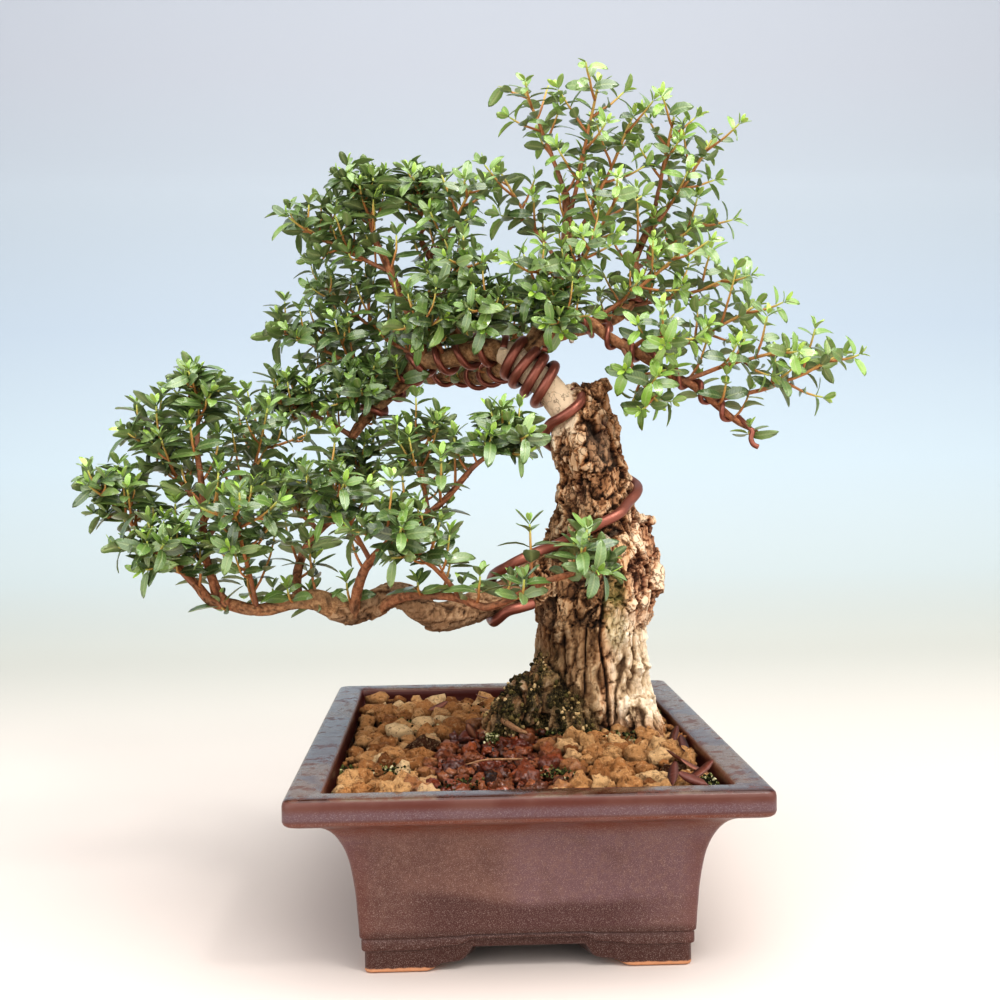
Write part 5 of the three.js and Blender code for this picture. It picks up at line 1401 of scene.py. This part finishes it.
# the share of each limb that has no shoots
BARE = {
    "neck": 1.0, "leader": 0.8, "leftLimb": 0.25, "backLimb": 0.3, "rightLimb": 0.62, "riser": 0.62,
    "leftRiser": 0.3, "midRiser": 0.3, "low": 0.55, "lowTall": 0.3, "lowFront": 0.3, "lowEast": 0.3,
    "lowBack": 0.2,
}
draw = np.random.default_rng(5151)
stems = []
for name, curve in limb_curves.items():
    curve = curve[:, :3]
    along = lengths(curve)
    turn = draw.uniform(0, 6.28)
    for wanted in np.arange(BARE[name] * along[-1], along[-1], SHOOT_PITCH):
        root = at_length(curve, along, wanted)
        ahead = at_length(curve, along, wanted + 1)
        heading = unit(ahead - root) if wanted + 1 < along[-1] else np.array([0, 0, 1.0])
        turn += GOLDEN_TURN
        across = turned(heading, turn)
        length = draw.uniform(12, 24)
        shoot = upright_stem(root, heading, across, length, draw.uniform(0.4, 0.8))
        stems.append((shoot, 0.6, 0.38, 0.35, 1.0, 7))
leafy_twigs("limb_shoots", stems, [0.25] * len(stems), [9001 + 13 * k for k in range(len(stems))])

# Litter on the soil: a few leaves that fell and dried red-brown, and two bits of twig. They lie loose
# on the granules; one bit of twig leans on the mossy root.
LYING = 2.6
# rows of the fallen leaves: x, y, turn and tilt in degrees, length, width
FALLEN = [
    [54, -34, 60, 16, 11, 5.0], [59, -46, 100, 8, 12, 5.4], [57, -60, 205, 18, 11, 5.2],
    [61, -70, 150, 6, 10, 4.6], [50, -80, 20, 12, 12, 5.6], [46, -86, 70, 14, 11, 5.0],
    [58, -86, 160, 12, 10, 4.4], [-15, -16, 250, 52, 7, 4.6], [-34, 52, 30, 4, 9, 4.2],
    [40, 70, 300, 6, 11, 4.6], [-5, 76, 190, 2, 8, 3.6],
]
# points along the bits of twig: x, y, z, radius
DROPPED_TWIGS = [
    [[-12, 10, 66.2, 0.8], [-7, 2, 65.6, 1.1], [-3, -8, 64.2, 1.2], [0.5, -14, 63, 1.0],
     [4, -15, 61.8, 0.6]],
    [[2, -52, 60.4, 0.25], [-4, -55, 61.0, 0.4], [-12, -54, 60.8, 0.35], [-19, -58, 60.2, 0.25]],
]


def dry_leaf():
    """Fallen leaf: dark red-brown and curled, paler on its back."""
    dry = Finish("dry fallen leaf", Roughness=0.5, Specular_IOR_Level=0.4)
    mottle = dry.noise(500, 4, 0.6)
    colour = dry.ramp(dry.mark("pick") * 0.7 + mottle * 0.3, (0.1, "33150e"), (0.5, "5c2c20"),
                      (0.8, "8c563f"), (1.0, "b48a68"))
    dry.lay("Base Color", dry.mix(dry.mark("under") * 0.5, colour, "8a6044"))
    dry.relief(mottle, 0.4)
    return dry


rows = []
for x, y, turn, tilt, length, width in FALLEN:
    turn, tilt = np.radians(turn), np.radians(tilt)
    direction = np.array([np.cos(turn) * np.cos(tilt), np.sin(turn) * np.cos(tilt), np.sin(tilt)])
    foot = [x, y, soil_top(x, y) + LYING]
    up = [0.3 * np.sin(3 * x), 0.3 * np.cos(5 * y), 1.0]
    rows.append([*foot, *direction, *up, length, 0.8 * width, 0.0, -0.3])
litter_points, litter_quads, litter_threes, marks = leaf_blades(np.array(rows), 6060)
piece("fallen_leaves", litter_points, [[litter_quads, litter_threes]], [dry_leaf()], "myrtle_leaf", **marks)
twig_points, twig_quads, twig_threes = gather([tube(smooth(route, 5), 8) for route in DROPPED_TWIGS])
piece("dropped_twigs", twig_points, [[twig_quads, twig_threes]], [young_bark()], "myrtle_bark",
      thick=np.full(len(twig_points), 2.6), deep=np.full(len(twig_points), 0.35))

# Stage: one sheet of pale paper that lies flat under the pot and sweeps up behind it, fading from
# warm white at the floor to a soft grey-blue above. It isn't part of the object.
paper = Finish("pale studio paper", Roughness=0.95, Specular_IOR_Level=0.1)
x, y, z = paper.axes()
height_tint = paper.ramp(z * 0.6 + 0.1, (0.0, "b6b4ab"), (0.1, "b4b4ac"), (0.13, "b0b8b8"), (0.2, "adb9c0"),
                         (0.3, "a4afba"), (0.4, "a5adb5"), (0.5, "a6aab2"), (1.0, "a8adb5"))
paper.lay("Base Color", paper.mix(y.fade(-0.1, 0.75), "cbc0b9", height_tint))
# the sheet seen from its side, in mm: distance behind the pot and height
SWEEP = [
    [-3000, 0], [-900, 0], [0, 0], [500, 0], [700, 12], [880, 60], [1020, 160], [1110, 300], [1160, 480],
    [1180, 800], [1180, 2600],
]
PAPER_HALF = 2600
PAPER_COLUMNS = 9
BELOW_POT = 0.0002
sweep = smooth(SWEEP, 8)
width = np.linspace(-PAPER_HALF, PAPER_HALF, PAPER_COLUMNS)
sheet = np.stack([np.tile(width, (len(sweep), 1)), np.repeat(sweep[:, :1], PAPER_COLUMNS, 1),
                  np.repeat(sweep[:, 1:], PAPER_COLUMNS, 1)], -1)
numbers = np.arange(sheet[..., 0].size).reshape(len(sweep), PAPER_COLUMNS)
sheet_faces = np.stack([numbers[:-1, :-1], numbers[:-1, 1:], numbers[1:, 1:], numbers[1:, :-1]],
                       -1).reshape(-1, 4)
backdrop_mesh = bpy.data.meshes.new("studio_paper")
sheet_points = sheet.reshape(-1, 3) * 0.001 - [0, 0, BELOW_POT]
backdrop_mesh.from_pydata(sheet_points.tolist(), [], sheet_faces.tolist())
backdrop_mesh.polygons.foreach_set("use_smooth", np.ones(len(backdrop_mesh.polygons), bool))
backdrop_mesh.materials.append(paper.material)
backdrop = bpy.data.objects.new("studio_paper", backdrop_mesh)
bpy.context.scene.collection.objects.link(backdrop)

# Light: a broad soft key from the right above the camera with a small lamp beside it for the sparkle on
# leaves and wet clay, a wide low fill from the left, a top panel, and pale light from all round.
AIMED_AT = (0.0, 0.0, 0.14)
# name, place, size, power in watts, colour
LIGHTS = [
    ["key", (0.75, -0.75, 0.95), 1.8, 16.0, (1.0, 0.97, 0.92)],
    ["sparkle", (0.35, -0.6, 0.85), 0.12, 2.2, (1.0, 0.98, 0.95)],
    ["fill", (-0.85, -0.9, 0.5), 1.6, 12.0, (0.97, 0.98, 1.0)],
    ["top", (0.1, -0.15, 1.25), 1.3, 13.0, (1.0, 0.99, 0.97)],
]
for name, place, size, power, colour in LIGHTS:
    panel = bpy.data.lights.new(name, "AREA")
    panel.size = size
    panel.energy = power
    panel.color = colour
    lamp = bpy.data.objects.new(name, panel)
    lamp.location = place
    lamp.rotation_euler = (Vector(AIMED_AT) - Vector(place)).to_track_quat("-Z", "Y").to_euler()
    bpy.context.scene.collection.objects.link(lamp)
world = bpy.data.worlds.new("soft daylight")
world.use_nodes = True
daylight = world.node_tree.nodes["Background"]
daylight.inputs["Color"].default_value = (0.93, 0.95, 0.975, 1.0)
daylight.inputs["Strength"].default_value = 0.9
bpy.context.scene.world = world
bpy.context.scene.view_settings.view_transform = "Standard"
bpy.context.scene.view_settings.look = "Medium High Contrast"

# Camera: where the photograph was taken from, half a metre off and level with the branches. It looks
# a little to the right and down, and is tilted by less than a degree.
lens = bpy.data.cameras.new("camera")
lens.sensor_width = 36.0
lens.lens = 47.34
lens.clip_start = 0.01
camera = bpy.data.objects.new("camera", lens)
yaw, pitch, roll = 0.0377, -0.0228, -0.0131
ahead = Vector((np.sin(yaw) * np.cos(pitch), np.cos(yaw) * np.cos(pitch), np.sin(pitch)))
right = ahead.cross(Vector((0, 0, 1))).normalized()
up = right.cross(ahead)
right, up = right * np.cos(roll) + up * np.sin(roll), up * np.cos(roll) - right * np.sin(roll)
turn = Matrix((right, up, -ahead)).transposed().to_4x4()
turn.translation = Vector((-0.023 + 0.010831, -0.498, 0.159))
camera.matrix_world = turn
bpy.context.scene.collection.objects.link(camera)
bpy.context.scene.camera = camera
